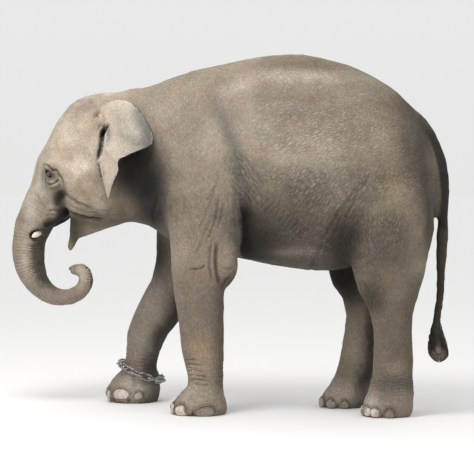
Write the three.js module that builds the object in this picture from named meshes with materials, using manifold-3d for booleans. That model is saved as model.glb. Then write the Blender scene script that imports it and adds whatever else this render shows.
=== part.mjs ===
// A still, life-size Asian elephant cow. She stands with her right forefoot a step ahead, her mouth
// a little open and her trunk curled in, and wears a plain chain round her right fore ankle.
// Millimetres. +Z is up, -X points to the head and -Y to her left side. The origin is on the floor,
// below the middle of her length.
import * as THREE from "three";
import { mergeVertices } from "three/addons/utils/BufferGeometryUtils.js";
import Module from "manifold-3d";

const wasm = await Module();
wasm.setup();

// ---------------------------------------------------------------- driving dimensions
const GAP = 0.3; // between two nodes that touch
const LEFT = -1;
const RIGHT = 1;
const SQUARE = 2.15; // how square a round limb is: 2 would be an ellipse
const SIDES = { barrel: 26, skull: 26, jaw: 16, limb: 16, trunk: 14, lip: 9, tail: 9 };

// Barrel, as upright rings from inside the skull to the rump: the top and bottom of the ring, half
// its width, the height of its widest level, and how square it is above and below that level.
const BARREL = [
  { x: -820, top: 1950, bottom: 1290, half: 150, wide: 1620, over: 1.9, under: 2 },
  { x: -660, top: 2008, bottom: 1182, half: 205, wide: 1590, over: 1.8, under: 2 },
  { x: -520, top: 2040, bottom: 1152, half: 252, wide: 1540, over: 1.75, under: 2 },
  { x: -380, top: 2092, bottom: 1060, half: 304, wide: 1480, over: 1.75, under: 2.1 },
  { x: -200, top: 2145, bottom: 984, half: 356, wide: 1430, over: 1.75, under: 2.1 },
  { x: 0, top: 2184, bottom: 962, half: 414, wide: 1400, over: 1.8, under: 2.15 },
  { x: 220, top: 2225, bottom: 922, half: 470, wide: 1375, over: 1.85, under: 2.2 },
  { x: 440, top: 2234, bottom: 886, half: 493, wide: 1370, over: 1.9, under: 2.2 },
  { x: 640, top: 2192, bottom: 878, half: 486, wide: 1390, over: 1.9, under: 2.2 },
  { x: 820, top: 2130, bottom: 925, half: 455, wide: 1440, over: 1.9, under: 2.15 },
  { x: 980, top: 2036, bottom: 1000, half: 408, wide: 1490, over: 1.95, under: 2 },
  { x: 1110, top: 1928, bottom: 1075, half: 350, wide: 1500, over: 2, under: 2 },
  { x: 1215, top: 1762, bottom: 1140, half: 264, wide: 1470, over: 2, under: 2 },
  { x: 1288, top: 1570, bottom: 1240, half: 125, wide: 1410, over: 2, under: 2 },
];

// Skull, as level rings from the crown to the upper lip: the face and the nape, the widest place
// along x, half the width there, and how square the ring is ahead of and behind that place.
const SKULL = [
  { z: 1985, face: -860, nape: -700, wide: -780, half: 46, fore: 2, aft: 2 },
  { z: 1945, face: -990, nape: -630, wide: -800, half: 140, fore: 2.2, aft: 2 },
  { z: 1880, face: -1060, nape: -600, wide: -820, half: 192, fore: 2.3, aft: 2 },
  { z: 1790, face: -1127, nape: -580, wide: -838, half: 226, fore: 2.3, aft: 2 },
  { z: 1690, face: -1176, nape: -570, wide: -862, half: 252, fore: 2.2, aft: 2 },
  { z: 1590, face: -1238, nape: -560, wide: -885, half: 268, fore: 2.05, aft: 2 },
  { z: 1490, face: -1268, nape: -560, wide: -892, half: 274, fore: 1.95, aft: 2 },
  { z: 1390, face: -1294, nape: -560, wide: -870, half: 260, fore: 2, aft: 2 },
  { z: 1300, face: -1310, nape: -560, wide: -830, half: 232, fore: 1.8, aft: 2 },
  { z: 1228, face: -1170, nape: -580, wide: -800, half: 190, fore: 1.6, aft: 2 },
  { z: 1180, face: -1060, nape: -620, wide: -800, half: 110, fore: 1.8, aft: 2 },
];

// Trunk, from inside the forehead, down in front of the mouth and round the curl to its tip.
const TRUNK = [
  { x: -1120, z: 1450, deep: 140, half: 132 },
  { x: -1192, z: 1320, deep: 128, half: 146 },
  { x: -1247, z: 1215, deep: 122, half: 134 },
  { x: -1282, z: 1130, deep: 116, half: 123 },
  { x: -1305, z: 1045, deep: 104, half: 112 },
  { x: -1309, z: 965, deep: 101, half: 106 },
  { x: -1298, z: 885, deep: 94, half: 99 },
  { x: -1268, z: 812, deep: 84, half: 90 },
  { x: -1228, z: 754, deep: 70, half: 80 },
  { x: -1168, z: 709, deep: 59, half: 69 },
  { x: -1095, z: 691, deep: 54, half: 61 },
  { x: -1022, z: 702, deep: 49, half: 55 },
  { x: -962, z: 741, deep: 46, half: 50 },
  { x: -931, z: 800, deep: 45, half: 46 },
  { x: -943, z: 852, deep: 40, half: 42 },
  { x: -982, z: 872, deep: 38, half: 38 },
  { x: -1030, z: 866, deep: 24, half: 32 },
];
const TRUNK_CUTS = [4, 7, 10, 13]; // rows of the table where the trunk is parted
const NOSTRIL = { radius: 7, apart: 11, deep: 50 };
const FINGER = { long: 20, wide: 13, thick: 10 };

// Lower jaw, from inside the cheeks to the chin, as upright rings like the barrel's.
const JAW = [
  { x: -660, top: 1400, bottom: 1178, half: 150, wide: 1310, over: 2, under: 2 },
  { x: -764, top: 1430, bottom: 1141, half: 192, wide: 1320, over: 2.1, under: 2.1 },
  { x: -870, top: 1400, bottom: 1105, half: 192, wide: 1290, over: 2.1, under: 2.1 },
  { x: -950, top: 1288, bottom: 1080, half: 144, wide: 1205, over: 2.1, under: 2.1 },
  { x: -1010, top: 1250, bottom: 1070, half: 100, wide: 1172, over: 2.1, under: 2 },
  { x: -1044, top: 1226, bottom: 1100, half: 60, wide: 1165, over: 2.1, under: 2 },
];

// The hanging, pointed lower lip, from inside the chin to its tip.
const LOWER_LIP = [
  { x: -1004, z: 1190, deep: 42, half: 76 },
  { x: -1014, z: 1120, deep: 38, half: 64 },
  { x: -1022, z: 1070, deep: 34, half: 48 },
  { x: -1034, z: 1025, deep: 25, half: 30 },
  { x: -1039, z: 990, deep: 6, half: 8 },
];

// The upper lip hangs as a fold on each side, from the corner of the mouth to the tush.
const UPPER_LIP = [
  { x: -985, y: 138, z: 1300, deep: 44, half: 40 },
  { x: -1060, y: 120, z: 1260, deep: 56, half: 48 },
  { x: -1120, y: 105, z: 1222, deep: 60, half: 50 },
  { x: -1180, y: 92, z: 1190, deep: 58, half: 46 },
  { x: -1236, y: 84, z: 1178, deep: 44, half: 36 },
  { x: -1280, y: 78, z: 1184, deep: 24, half: 18 },
];
// The open mouth in side view: from the corner along the lower jaw, round its front, and back
// under the upper lip.
const MOUTH = [
  { x: -944, z: 1246 },
  { x: -1047, z: 1217 },
  { x: -1051, z: 1120 },
  { x: -1110, z: 1146 },
  { x: -1107, z: 1160 },
  { x: -1060, z: 1200 },
  { x: -1041, z: 1229 },
  { x: -944, z: 1251 },
];
const MOUTH_HALF = 240;

const EYE = { x: -1116, z: 1484, radius: 20, sunk: 9 };
const LID = { thick: 8, long: 31, high: 17, tilt: 0.55 };

const TUSH = [
  { x: -1180, y: 88, z: 1172, deep: 17, half: 17 },
  { x: -1215, y: 97, z: 1135, deep: 17, half: 17 },
  { x: -1243, y: 106, z: 1105, deep: 14, half: 14 },
  { x: -1262, y: 111, z: 1084, deep: 6, half: 6 },
];

// Ear: the line where it leaves the side of the head, and its free margin with how far that
// stands out from the plane of symmetry.
const EAR_ROOT = [
  { x: -768, z: 1892 },
  { x: -786, z: 1820 },
  { x: -785, z: 1740 },
  { x: -780, z: 1660 },
  { x: -774, z: 1575 },
];
const EAR_MARGIN = [
  { x: -766, z: 1908, out: 226 },
  { x: -708, z: 1934, out: 262 },
  { x: -618, z: 1933, out: 288 },
  { x: -556, z: 1892, out: 306 },
  { x: -500, z: 1816, out: 322 },
  { x: -453, z: 1735, out: 336 },
  { x: -452, z: 1668, out: 342 },
  { x: -519, z: 1630, out: 348 },
  { x: -613, z: 1589, out: 350 },
  { x: -653, z: 1560, out: 344 },
  { x: -655, z: 1495, out: 330 },
  { x: -696, z: 1415, out: 312 },
  { x: -727, z: 1330, out: 292 },
  { x: -748, z: 1450, out: 290 },
  { x: -760, z: 1552, out: 278 },
];
const EAR = {
  rungs: 16,
  columns: [0, 0.12, 0.26, 0.5, 0.75, 1], // from the root to the margin
  rootThick: 24,
  marginThick: 10,
  cup: 18,
  ridge: 14,
  ridgeAt: 0.12,
  full: 170, // a rung this long has the whole of the cup and the ridge
  sunk: 22,
};

// Legs, as level rings from inside the body to the sole: the front and back of the ring, how far
// its middle is from the plane of symmetry, and half its width.
const FORE_STANDING = [
  { z: 1700, front: -330, back: -50, mid: 130, half: 110 },
  { z: 1500, front: -440, back: 50, mid: 176, half: 152 },
  { z: 1290, front: -388, back: 92, mid: 216, half: 160 },
  { z: 1080, front: -348, back: 62, mid: 240, half: 146 },
  { z: 890, front: -338, back: 28, mid: 254, half: 136 },
  { z: 730, front: -316, back: -4, mid: 260, half: 126 },
  { z: 560, front: -288, back: -8, mid: 263, half: 119 },
  { z: 400, front: -271, back: -9, mid: 265, half: 116 },
  { z: 240, front: -233, back: -11, mid: 265, half: 107 },
  { z: 180, front: -226, back: -13, mid: 265, half: 109 },
  { z: 120, front: -284, back: -7, mid: 265, half: 128 },
  { z: 60, front: -331, back: 10, mid: 265, half: 143 },
  { z: 18, front: -331, back: 8, mid: 265, half: 143 },
  { z: 0, front: -316, back: -6, mid: 265, half: 134 },
];
const FORE_STEPPING = [
  { z: 1700, front: -340, back: -50, mid: 130, half: 110 },
  { z: 1500, front: -462, back: 40, mid: 176, half: 152 },
  { z: 1290, front: -504, back: 24, mid: 216, half: 158 },
  { z: 1080, front: -522, back: -80, mid: 238, half: 144 },
  { z: 920, front: -524, back: -155, mid: 250, half: 136 },
  { z: 800, front: -554, back: -225, mid: 256, half: 130 },
  { z: 670, front: -624, back: -300, mid: 261, half: 124 },
  { z: 540, front: -686, back: -368, mid: 264, half: 119 },
  { z: 430, front: -721, back: -458, mid: 265, half: 116 },
  { z: 320, front: -726, back: -508, mid: 265, half: 107 },
  { z: 225, front: -738, back: -528, mid: 265, half: 107 },
  { z: 150, front: -806, back: -514, mid: 265, half: 124 },
  { z: 75, front: -854, back: -505, mid: 265, half: 142 },
  { z: 22, front: -840, back: -512, mid: 265, half: 143 },
  { z: 0, front: -822, back: -528, mid: 265, half: 132 },
];
const HIND_STANDING = [
  { z: 1720, front: 930, back: 1110, mid: 150, half: 110 },
  { z: 1540, front: 810, back: 1210, mid: 186, half: 160 },
  { z: 1340, front: 730, back: 1275, mid: 216, half: 188 },
  { z: 1170, front: 722, back: 1288, mid: 228, half: 186 },
  { z: 1020, front: 742, back: 1257, mid: 236, half: 172 },
  { z: 880, front: 788, back: 1226, mid: 236, half: 156 },
  { z: 770, front: 822, back: 1193, mid: 230, half: 140 },
  { z: 660, front: 886, back: 1160, mid: 222, half: 122 },
  { z: 540, front: 914, back: 1150, mid: 216, half: 110 },
  { z: 400, front: 915, back: 1152, mid: 210, half: 108 },
  { z: 240, front: 905, back: 1157, mid: 204, half: 108 },
  { z: 150, front: 880, back: 1159, mid: 201, half: 116 },
  { z: 75, front: 851, back: 1158, mid: 200, half: 126 },
  { z: 20, front: 848, back: 1152, mid: 200, half: 127 },
  { z: 0, front: 862, back: 1136, mid: 200, half: 117 },
];
const HIND_STEPPING = [
  { z: 1720, front: 890, back: 1095, mid: 150, half: 110 },
  { z: 1540, front: 775, back: 1200, mid: 186, half: 160 },
  { z: 1340, front: 672, back: 1258, mid: 215, half: 186 },
  { z: 1170, front: 622, back: 1235, mid: 224, half: 182 },
  { z: 1010, front: 590, back: 1165, mid: 229, half: 168 },
  { z: 880, front: 588, back: 1085, mid: 227, half: 154 },
  { z: 790, front: 616, back: 1020, mid: 221, half: 143 },
  { z: 690, front: 686, back: 970, mid: 213, half: 127 },
  { z: 580, front: 712, back: 942, mid: 206, half: 112 },
  { z: 440, front: 693, back: 918, mid: 200, half: 107 },
  { z: 300, front: 669, back: 893, mid: 197, half: 107 },
  { z: 200, front: 643, back: 871, mid: 195, half: 112 },
  { z: 130, front: 604, back: 858, mid: 195, half: 119 },
  { z: 75, front: 565, back: 849, mid: 195, half: 126 },
  { z: 20, front: 549, back: 842, mid: 195, half: 127 },
  { z: 0, front: 566, back: 825, mid: 195, half: 117 },
];

// Nails stand in an arc round the front of the foot, at these bearings from its middle.
const NAIL = { tall: 58, proud: 8, sunk: 30, sides: 8, lean: 0.2 };
const FORE_NAILS = { bearings: [-80, -42, 0, 42, 80], half: [28, 38, 42, 38, 28] };
const HIND_NAILS = { bearings: [-66, -24, 22, 64], half: [27, 35, 35, 27] };

const LEGS = [
  {
    name: "foreleg_left",
    side: LEFT,
    rows: FORE_STANDING,
    nails: FORE_NAILS,
    nailsAt: 38,
    cuts: [944, 420, 180],
    elbow: { x: 8, y: 274, z: 928, reach: [76, 92, 152] },
  },
  {
    name: "foreleg_right",
    side: RIGHT,
    rows: FORE_STEPPING,
    nails: FORE_NAILS,
    nailsAt: 56,
    cuts: [944, 400, 205],
    elbow: { x: -160, y: 272, z: 960, reach: [76, 92, 152] },
  },
  {
    name: "hindleg_left",
    side: LEFT,
    rows: HIND_STANDING,
    nails: HIND_NAILS,
    nailsAt: 38,
    cuts: [866, 610, 165],
  },
  {
    name: "hindleg_right",
    side: RIGHT,
    rows: HIND_STEPPING,
    nails: HIND_NAILS,
    nailsAt: 38,
    cuts: [866, 600, 165],
  },
];

// Tail: it leaves the rump high up, hangs close behind it and ends in a tuft.
const TAIL = [
  { x: 1096, z: 1862, deep: 56, half: 62 },
  { x: 1160, z: 1822, deep: 52, half: 58 },
  { x: 1228, z: 1738, deep: 48, half: 52 },
  { x: 1280, z: 1628, deep: 44, half: 46 },
  { x: 1316, z: 1512, deep: 41, half: 42 },
  { x: 1330, z: 1380, deep: 38, half: 38 },
  { x: 1327, z: 1220, deep: 37, half: 34 },
  { x: 1323, z: 1060, deep: 34, half: 31 },
  { x: 1316, z: 900, deep: 28, half: 26 },
  { x: 1314, z: 760, deep: 24, half: 22 },
  { x: 1304, z: 650, deep: 22, half: 19 },
  { x: 1288, z: 560, deep: 24, half: 18 },
  { x: 1292, z: 470, deep: 31, half: 20 },
  { x: 1302, z: 400, deep: 32, half: 18 },
  { x: 1306, z: 352, deep: 14, half: 10 },
];
const TAIL_CUTS = [7, 10]; // rows of the table where the tail is parted
const TUFT = { perEdge: 6, first: 578, last: 405, x: 1307, z: 412, half: 70, low: 100, wide: 30, thick: 16 };

// Chain: welded oval links in a sloping loop round the ankle, each turned a quarter from the next.
const CHAIN = {
  links: 16,
  wire: 6.5,
  sides: 5,
  long: 93,
  wide: 50,
  x: -628,
  y: 265,
  z: 196,
  reachX: 137,
  reachY: 138,
  slope: -0.40,
  twist: Math.PI / 4,
};

// ---------------------------------------------------------------- shared ways of making a solid
// A closed mesh as a solid, its faces turned outwards.
function solid(geometry) {
  geometry.deleteAttribute("normal");
  geometry.deleteAttribute("uv");
  const merged = mergeVertices(geometry, 1e-3);
  const triVerts = new Uint32Array(merged.index.array);
  const vertProperties = merged.attributes.position.array;
  const made = new wasm.Manifold(new wasm.Mesh({ numProp: 3, vertProperties, triVerts }));
  if (made.volume() > 0) return made;
  return new wasm.Manifold(new wasm.Mesh({ numProp: 3, vertProperties, triVerts: triVerts.reverse() }));
}

const joined = (solids) => solids.reduce((whole, piece) => whole.add(piece));

// The one of several things for which `gap` is least.
const nearest = (things, gap) => things.reduce((a, b) => (gap(b) < gap(a) ? b : a));

// A skin over rings of points, closed at both ends round the middle of the end rings.
function loft(rings) {
  const points = rings.flat();
  const sides = rings[0].length;
  const faces = [];
  for (let ring = 0; ring + 1 < rings.length; ring++) {
    for (let side = 0; side < sides; side++) {
      const a = ring * sides + side;
      const b = ring * sides + ((side + 1) % sides);
      faces.push(a, b, b + sides, a, b + sides, a + sides);
    }
  }
  for (const start of [0, (rings.length - 1) * sides]) {
    const middle = points.length;
    const ring = points.slice(start, start + sides);
    points.push(ring.reduce((sum, p) => sum.add(p), new THREE.Vector3()).divideScalar(sides));
    for (let side = 0; side < sides; side++) {
      const a = start + side;
      const b = start + ((side + 1) % sides);
      faces.push(...(start === 0 ? [b, a, middle] : [a, b, middle]));
    }
  }
  const geometry = new THREE.BufferGeometry().setFromPoints(points);
  geometry.setIndex(faces);
  return geometry;
}

// Rows of sizes with `between` new rows in each gap, on smooth curves that never pass a row.
function smoothRows(rows, between) {
  const row = (n) => rows[Math.max(0, Math.min(rows.length - 1, n))];
  const value = (key, at) => {
    const i = Math.min(Math.floor(at), rows.length - 2);
    const t = at - i;
    const rise = row(i + 1)[key] - row(i)[key];
    const slope = (n) => {
      const mean = (row(n + 1)[key] - row(n - 1)[key]) / 2;
      return mean * rise <= 0 ? 0 : Math.sign(rise) * Math.min(Math.abs(mean), 3 * Math.abs(rise));
    };
    const ease = 3 * t ** 2 - 2 * t ** 3;
    const start = slope(i) * (t ** 3 - 2 * t ** 2 + t);
    const end = slope(i + 1) * (t ** 3 - t ** 2);
    return row(i)[key] + rise * ease + start + end;
  };
  const count = (rows.length - 1) * (between + 1);
  return Array.from({ length: count + 1 }, (_, n) =>
    Object.fromEntries(Object.keys(rows[0]).map((key) => [key, value(key, n / (between + 1))])),
  );
}

// A cosine or sine on a superellipse: power 2 is an ellipse, and more is squarer.
const bent = (value, power) => Math.sign(value) * Math.abs(value) ** (2 / power);
const angles = (sides) => Array.from({ length: sides }, (_, i) => (2 * Math.PI * (i + 0.5)) / sides);

// Moves a surface outwards round each form's place, on both sides of the body, or inwards where
// its lift is negative.
function sculpt(geometry, forms) {
  geometry.computeVertexNormals();
  const place = geometry.attributes.position;
  const normal = geometry.attributes.normal;
  const away = (gap, reach) => (gap / reach) ** 2;
  for (let i = 0; i < place.count; i++) {
    const point = new THREE.Vector3().fromBufferAttribute(place, i);
    const out = new THREE.Vector3().fromBufferAttribute(normal, i);
    let lift = 0;
    for (const { at, reach, lift: most } of forms) {
      const flat = away(point.x - at[0], reach[0]) + away(point.z - at[2], reach[2]);
      lift += most * Math.exp(-flat - away(Math.abs(point.y) - at[1], reach[1]));
    }
    point.addScaledVector(out, lift);
    place.setXYZ(i, point.x, point.y, point.z);
  }
  return geometry;
}

// Upright rings along x, from rows like BARREL.
function uprightLoft(rows, sides, between) {
  return loft(
    smoothRows(rows, between).map((row) =>
      angles(sides).map((angle) => {
        const up = Math.cos(angle);
        const power = up > 0 ? row.over : row.under;
        const reach = up > 0 ? row.top - row.wide : row.wide - row.bottom;
        const y = row.half * bent(Math.sin(angle), power);
        return new THREE.Vector3(row.x, y, row.wide + reach * bent(up, power));
      }),
    ),
  );
}

// Rings square to a line from row to row: half the depth across it in side view, half the width.
function tube(rows, sides, between, side = RIGHT, grow = 0) {
  const stations = smoothRows(
    rows.map((row) => ({ y: 0, ...row })),
    between,
  );
  const last = stations.length - 1;
  return loft(
    stations.map((row, n) => {
      const [before, after] = [stations[Math.max(0, n - 1)], stations[Math.min(last, n + 1)]];
      const along = new THREE.Vector3(after.x - before.x, after.y - before.y, after.z - before.z);
      along.normalize();
      const deepWay = new THREE.Vector3(along.z, 0, -along.x).normalize();
      const wideWay = along.clone().cross(deepWay);
      const end = n === 0 ? -grow : n === last ? grow : 0;
      return angles(sides).map((angle) => {
        const point = new THREE.Vector3(row.x, row.y, row.z)
          .addScaledVector(along, end)
          .addScaledVector(deepWay, (row.deep + grow) * bent(Math.cos(angle), SQUARE))
          .addScaledVector(wideWay, (row.half + grow) * bent(Math.sin(angle), SQUARE));
        point.y *= side;
        return point;
      });
    }),
  );
}

// A thin board that parts two nodes: it stands square to the direction `along` of the side view.
function board({ x, y = 0, z, along, reach, half = 700 }) {
  const box = new THREE.BoxGeometry(GAP, 2 * half, 2 * reach);
  return solid(box.rotateY(-Math.atan2(along[1], along[0])).translate(x, y, z));
}

// ---------------------------------------------------------------- torso and neck
// Shoulder blade, hip bone, hollow of the flank and the pinched sides of the rump.
const BARREL_FORMS = [
  { at: [-215, 320, 1720], reach: [150, 200, 260], lift: 26 },
  { at: [930, 390, 1800], reach: [110, 160, 110], lift: 26 },
  { at: [770, 430, 1640], reach: [110, 200, 150], lift: -20 },
  { at: [1190, 260, 1700], reach: [80, 140, 120], lift: -14 },
];
const barrel = solid(sculpt(uprightLoft(BARREL, SIDES.barrel, 1), BARREL_FORMS));

// ---------------------------------------------------------------- head, jaws and lips
// Domes of the crown, dip of the forehead, brow, cheekbone, temple, and the hollow below the eye.
const SKULL_FORMS = [
  { at: [-860, 100, 1950], reach: [120, 70, 70], lift: 14 },
  { at: [-1170, 0, 1700], reach: [70, 70, 150], lift: -8 },
  { at: [-1130, 180, 1540], reach: [60, 60, 45], lift: 16 },
  { at: [-965, 260, 1450], reach: [120, 90, 55], lift: 14 },
  { at: [-940, 250, 1690], reach: [100, 90, 90], lift: -18 },
  { at: [-1090, 180, 1370], reach: [60, 80, 55], lift: -30 },
];

// Half the width of the skull's side at a place seen from the side.
function skullSide(x, z) {
  const row = nearest(smoothRows(SKULL, 15), (one) => Math.abs(one.z - z));
  const reach = x < row.wide ? row.wide - row.face : row.nape - row.wide;
  const power = x < row.wide ? row.fore : row.aft;
  return row.half * (1 - (Math.abs(x - row.wide) / reach) ** power) ** (1 / power);
}

function skull() {
  const rings = smoothRows(SKULL, 1).map((row) =>
    angles(SIDES.skull).map((angle) => {
      const forward = Math.cos(angle);
      const power = forward > 0 ? row.fore : row.aft;
      const reach = forward > 0 ? row.face - row.wide : row.wide - row.nape;
      const y = row.half * bent(Math.sin(angle), power);
      return new THREE.Vector3(row.wide + reach * bent(forward, power), y, row.z);
    }),
  );
  return solid(sculpt(loft(rings), SKULL_FORMS));
}

function mouth() {
  const shape = new THREE.Shape(MOUTH.map(({ x, z }) => new THREE.Vector2(x, z)));
  const block = new THREE.ExtrudeGeometry(shape, { depth: 2 * MOUTH_HALF, bevelEnabled: false });
  return solid(block.rotateX(Math.PI / 2).translate(0, MOUTH_HALF, 0));
}

// The trunk with the finger on the front of its tip and two nostrils below it.
function trunk() {
  const [before, end] = TRUNK.slice(-2);
  const along = new THREE.Vector3(end.x - before.x, 0, end.z - before.z).normalize();
  const front = new THREE.Vector3(along.z, 0, -along.x);
  const turn = -Math.atan2(along.z, along.x);
  const rim = new THREE.Vector3(end.x, 0, end.z);
  const finger = new THREE.SphereGeometry(1, 10, 8).scale(FINGER.long, FINGER.wide, FINGER.thick);
  const fingerAt = rim.clone().addScaledVector(front, end.deep - FINGER.thick);
  let whole = solid(tube(TRUNK, SIDES.trunk, 1));
  whole = whole.add(solid(finger.rotateY(turn).translate(...fingerAt)));
  for (const side of [LEFT, RIGHT]) {
    const bore = new THREE.CylinderGeometry(NOSTRIL.radius, NOSTRIL.radius / 2, NOSTRIL.deep, 8);
    const at = rim.clone().addScaledVector(front, -4).setY(side * NOSTRIL.apart);
    whole = whole.subtract(solid(bore.rotateZ(-Math.PI / 2).rotateY(turn).translate(...at)));
  }
  return whole;
}

// Both lids as one ring of skin round the eye, drawn to a corner at each end.
function lids(side) {
  const count = 12;
  const points = Array.from({ length: count }, (_, n) => {
    const angle = (2 * Math.PI * n) / count;
    const along = LID.long * Math.cos(angle);
    const up = LID.high * Math.sin(angle);
    const x = EYE.x + along * Math.cos(LID.tilt) + up * Math.sin(LID.tilt);
    const z = EYE.z - along * Math.sin(LID.tilt) + up * Math.cos(LID.tilt);
    return new THREE.Vector3(x, side * (skullSide(x, z) + 4), z);
  });
  const line = new THREE.CatmullRomCurve3(points, true);
  const section = new THREE.Shape(
    angles(5).map((a) => new THREE.Vector2(LID.thick * Math.cos(a), LID.thick * Math.sin(a))),
  );
  return solid(new THREE.ExtrudeGeometry(section, { steps: count, extrudePath: line }));
}

function eyeball(side, grow = 0) {
  const y = side * (skullSide(EYE.x, EYE.z) - EYE.sunk);
  return solid(new THREE.SphereGeometry(EYE.radius + grow, 10, 7).translate(EYE.x, y, EYE.z));
}

const tush = (side, grow = 0) => solid(tube(TUSH, 8, 1, side, grow));

const head = joined([
  skull(),
  trunk(),
  solid(uprightLoft(JAW, SIDES.jaw, 1)),
  solid(tube(LOWER_LIP, SIDES.lip, 0)),
  ...[LEFT, RIGHT].flatMap((side) => [solid(tube(UPPER_LIP, SIDES.lip, 0, side)), lids(side)]),
]).subtract(mouth());

// ---------------------------------------------------------------- ears
// A thin blade between its root line and its free margin. It is cupped, with a ridge near the
// front, and its root runs on into the head.
function ear(side, grow = 0) {
  const line = (points) => new THREE.CatmullRomCurve3(points);
  const root = line(EAR_ROOT.map((p) => new THREE.Vector3(p.x, skullSide(p.x, p.z), p.z)));
  const margin = line(EAR_MARGIN.map((p) => new THREE.Vector3(p.x, p.out, p.z)));
  const grid = [];
  for (let n = 0; n <= EAR.rungs; n++) {
    const from = root.getPointAt(n / EAR.rungs);
    const to = margin.getPointAt(n / EAR.rungs);
    const share = Math.min(1, from.distanceTo(to) / EAR.full);
    const sunk = new THREE.Vector3(from.x - EAR.sunk / 2, from.y - EAR.sunk - grow, from.z);
    const rung = EAR.columns.map((v) => {
      const point = from.clone().lerp(to, v);
      const ridge = EAR.ridge * Math.exp(-(((v - EAR.ridgeAt) / 0.12) ** 2));
      point.y += share * (EAR.cup * Math.sin(Math.PI * v) + ridge);
      return point;
    });
    grid.push([sunk, ...rung]);
  }
  const columns = grid[0].length;
  const faceOf = (sign) =>
    grid.flatMap((rung, n) =>
      rung.map((point, m) => {
        const v = EAR.columns[Math.max(0, m - 1)];
        const edge = n === 0 || n === EAR.rungs ? 0.6 : 1;
        const thick = edge * (EAR.rootThick + (EAR.marginThick - EAR.rootThick) * v) + 2 * grow;
        return new THREE.Vector3(point.x, side * (point.y + (sign * thick) / 2), point.z);
      }),
    );
  const points = [...faceOf(1), ...faceOf(-1)];
  const back = points.length / 2;
  const faces = [];
  const quad = (a, b, c, d) => faces.push(a, b, c, a, c, d);
  for (let n = 0; n < EAR.rungs; n++) {
    for (let m = 0; m + 1 < columns; m++) {
      const a = n * columns + m;
      const d = a + columns;
      const [b, c] = [a + 1, d + 1];
      faces.push(a, b, c, a, c, d, back + a, back + c, back + b, back + a, back + d, back + c);
    }
    const [inner, outer] = [n * columns, (n + 1) * columns - 1];
    quad(inner, inner + columns, back + inner + columns, back + inner);
    quad(outer + columns, outer, back + outer, back + outer + columns);
  }
  for (let m = 0; m + 1 < columns; m++) {
    const end = EAR.rungs * columns + m;
    quad(m + 1, m, back + m, back + m + 1);
    quad(end, end + 1, back + end + 1, back + end);
  }
  const geometry = new THREE.BufferGeometry().setFromPoints(points);
  geometry.setIndex(faces);
  return solid(geometry);
}

// ---------------------------------------------------------------- legs
function nails({ rows, side, nails: set, nailsAt }) {
  const foot = rows[rows.length - 2];
  const middle = (foot.front + foot.back) / 2;
  const reach = (foot.back - foot.front) / 2;
  return set.bearings.map((bearing, n) => {
    const angle = THREE.MathUtils.degToRad(bearing);
    const plate = new THREE.CylinderGeometry(1, 0.84, NAIL.proud + NAIL.sunk, NAIL.sides, 1);
    plate.translate(0, (NAIL.sunk - NAIL.proud) / 2, 0).rotateZ(-Math.PI / 2);
    const nail = plate.scale(1, set.half[n], NAIL.tall / 2).rotateY(NAIL.lean).rotateZ(-angle);
    nail.translate(
      middle - reach * bent(Math.cos(angle), SQUARE),
      foot.mid + foot.half * bent(Math.sin(angle), SQUARE),
      nailsAt,
    );
    return solid(side === LEFT ? nail.scale(1, -1, 1) : nail);
  });
}

function leg(shape) {
  const rings = shape.rows.map((row) =>
    angles(SIDES.limb).map((angle) => {
      const x = (row.front + row.back) / 2 + ((row.back - row.front) / 2) * bent(Math.cos(angle), SQUARE);
      return new THREE.Vector3(x, shape.side * (row.mid + row.half * bent(Math.sin(angle), SQUARE)), row.z);
    }),
  );
  const pieces = [solid(loft(rings)), ...nails(shape)];
  if (shape.elbow) {
    const { x, y, z, reach } = shape.elbow;
    const fold = new THREE.SphereGeometry(1, 12, 8).scale(...reach).rotateY(0.16);
    pieces.push(solid(fold.translate(x, shape.side * y, z)));
  }
  return joined(pieces);
}

// ---------------------------------------------------------------- tail and its tuft
// One lock: a flat, tapered blade of four sides, bent through three points.
function lock(points, steps = 3) {
  const line = new THREE.QuadraticBezierCurve3(...points);
  const rings = Array.from({ length: steps + 1 }, (_, n) => {
    const t = n / steps;
    const at = line.getPoint(t);
    const flat = line.getTangent(t).cross(new THREE.Vector3(0, 1, 0)).normalize();
    const taper = 1.04 - t ** 3;
    return angles(4).map((angle) => {
      const point = at.clone().addScaledVector(flat, TUFT.wide * taper * Math.cos(angle) * Math.SQRT1_2);
      point.y += TUFT.thick * taper * Math.sin(angle) * Math.SQRT1_2;
      return point;
    });
  });
  return solid(loft(rings));
}

// Locks grow down both edges of the tail's end. They spread, and close in again to a drop.
function tuft() {
  const core = smoothRows(TAIL, 3);
  const locks = [];
  for (const edge of [-1, 1]) {
    for (let n = 0; n < TUFT.perEdge; n++) {
      const t = n / (TUFT.perEdge - 1);
      const z = TUFT.first + (TUFT.last - TUFT.first) * t;
      const root = nearest(core, (row) => Math.abs(row.z - z));
      const lean = (n % 2 ? 1 : -1) * 12;
      const angle = THREE.MathUtils.degToRad(4 + 80 * t);
      const tip = new THREE.Vector3(
        TUFT.x + edge * TUFT.half * Math.cos(angle),
        lean,
        TUFT.z - TUFT.low * Math.sin(angle),
      );
      const bend = new THREE.Vector3(tip.x + edge * 6 * t, lean * 1.5, z * 0.45 + tip.z * 0.55);
      locks.push(lock([new THREE.Vector3(root.x + edge * root.deep * 0.4, 0, z), bend, tip]));
    }
  }
  return locks;
}

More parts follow.
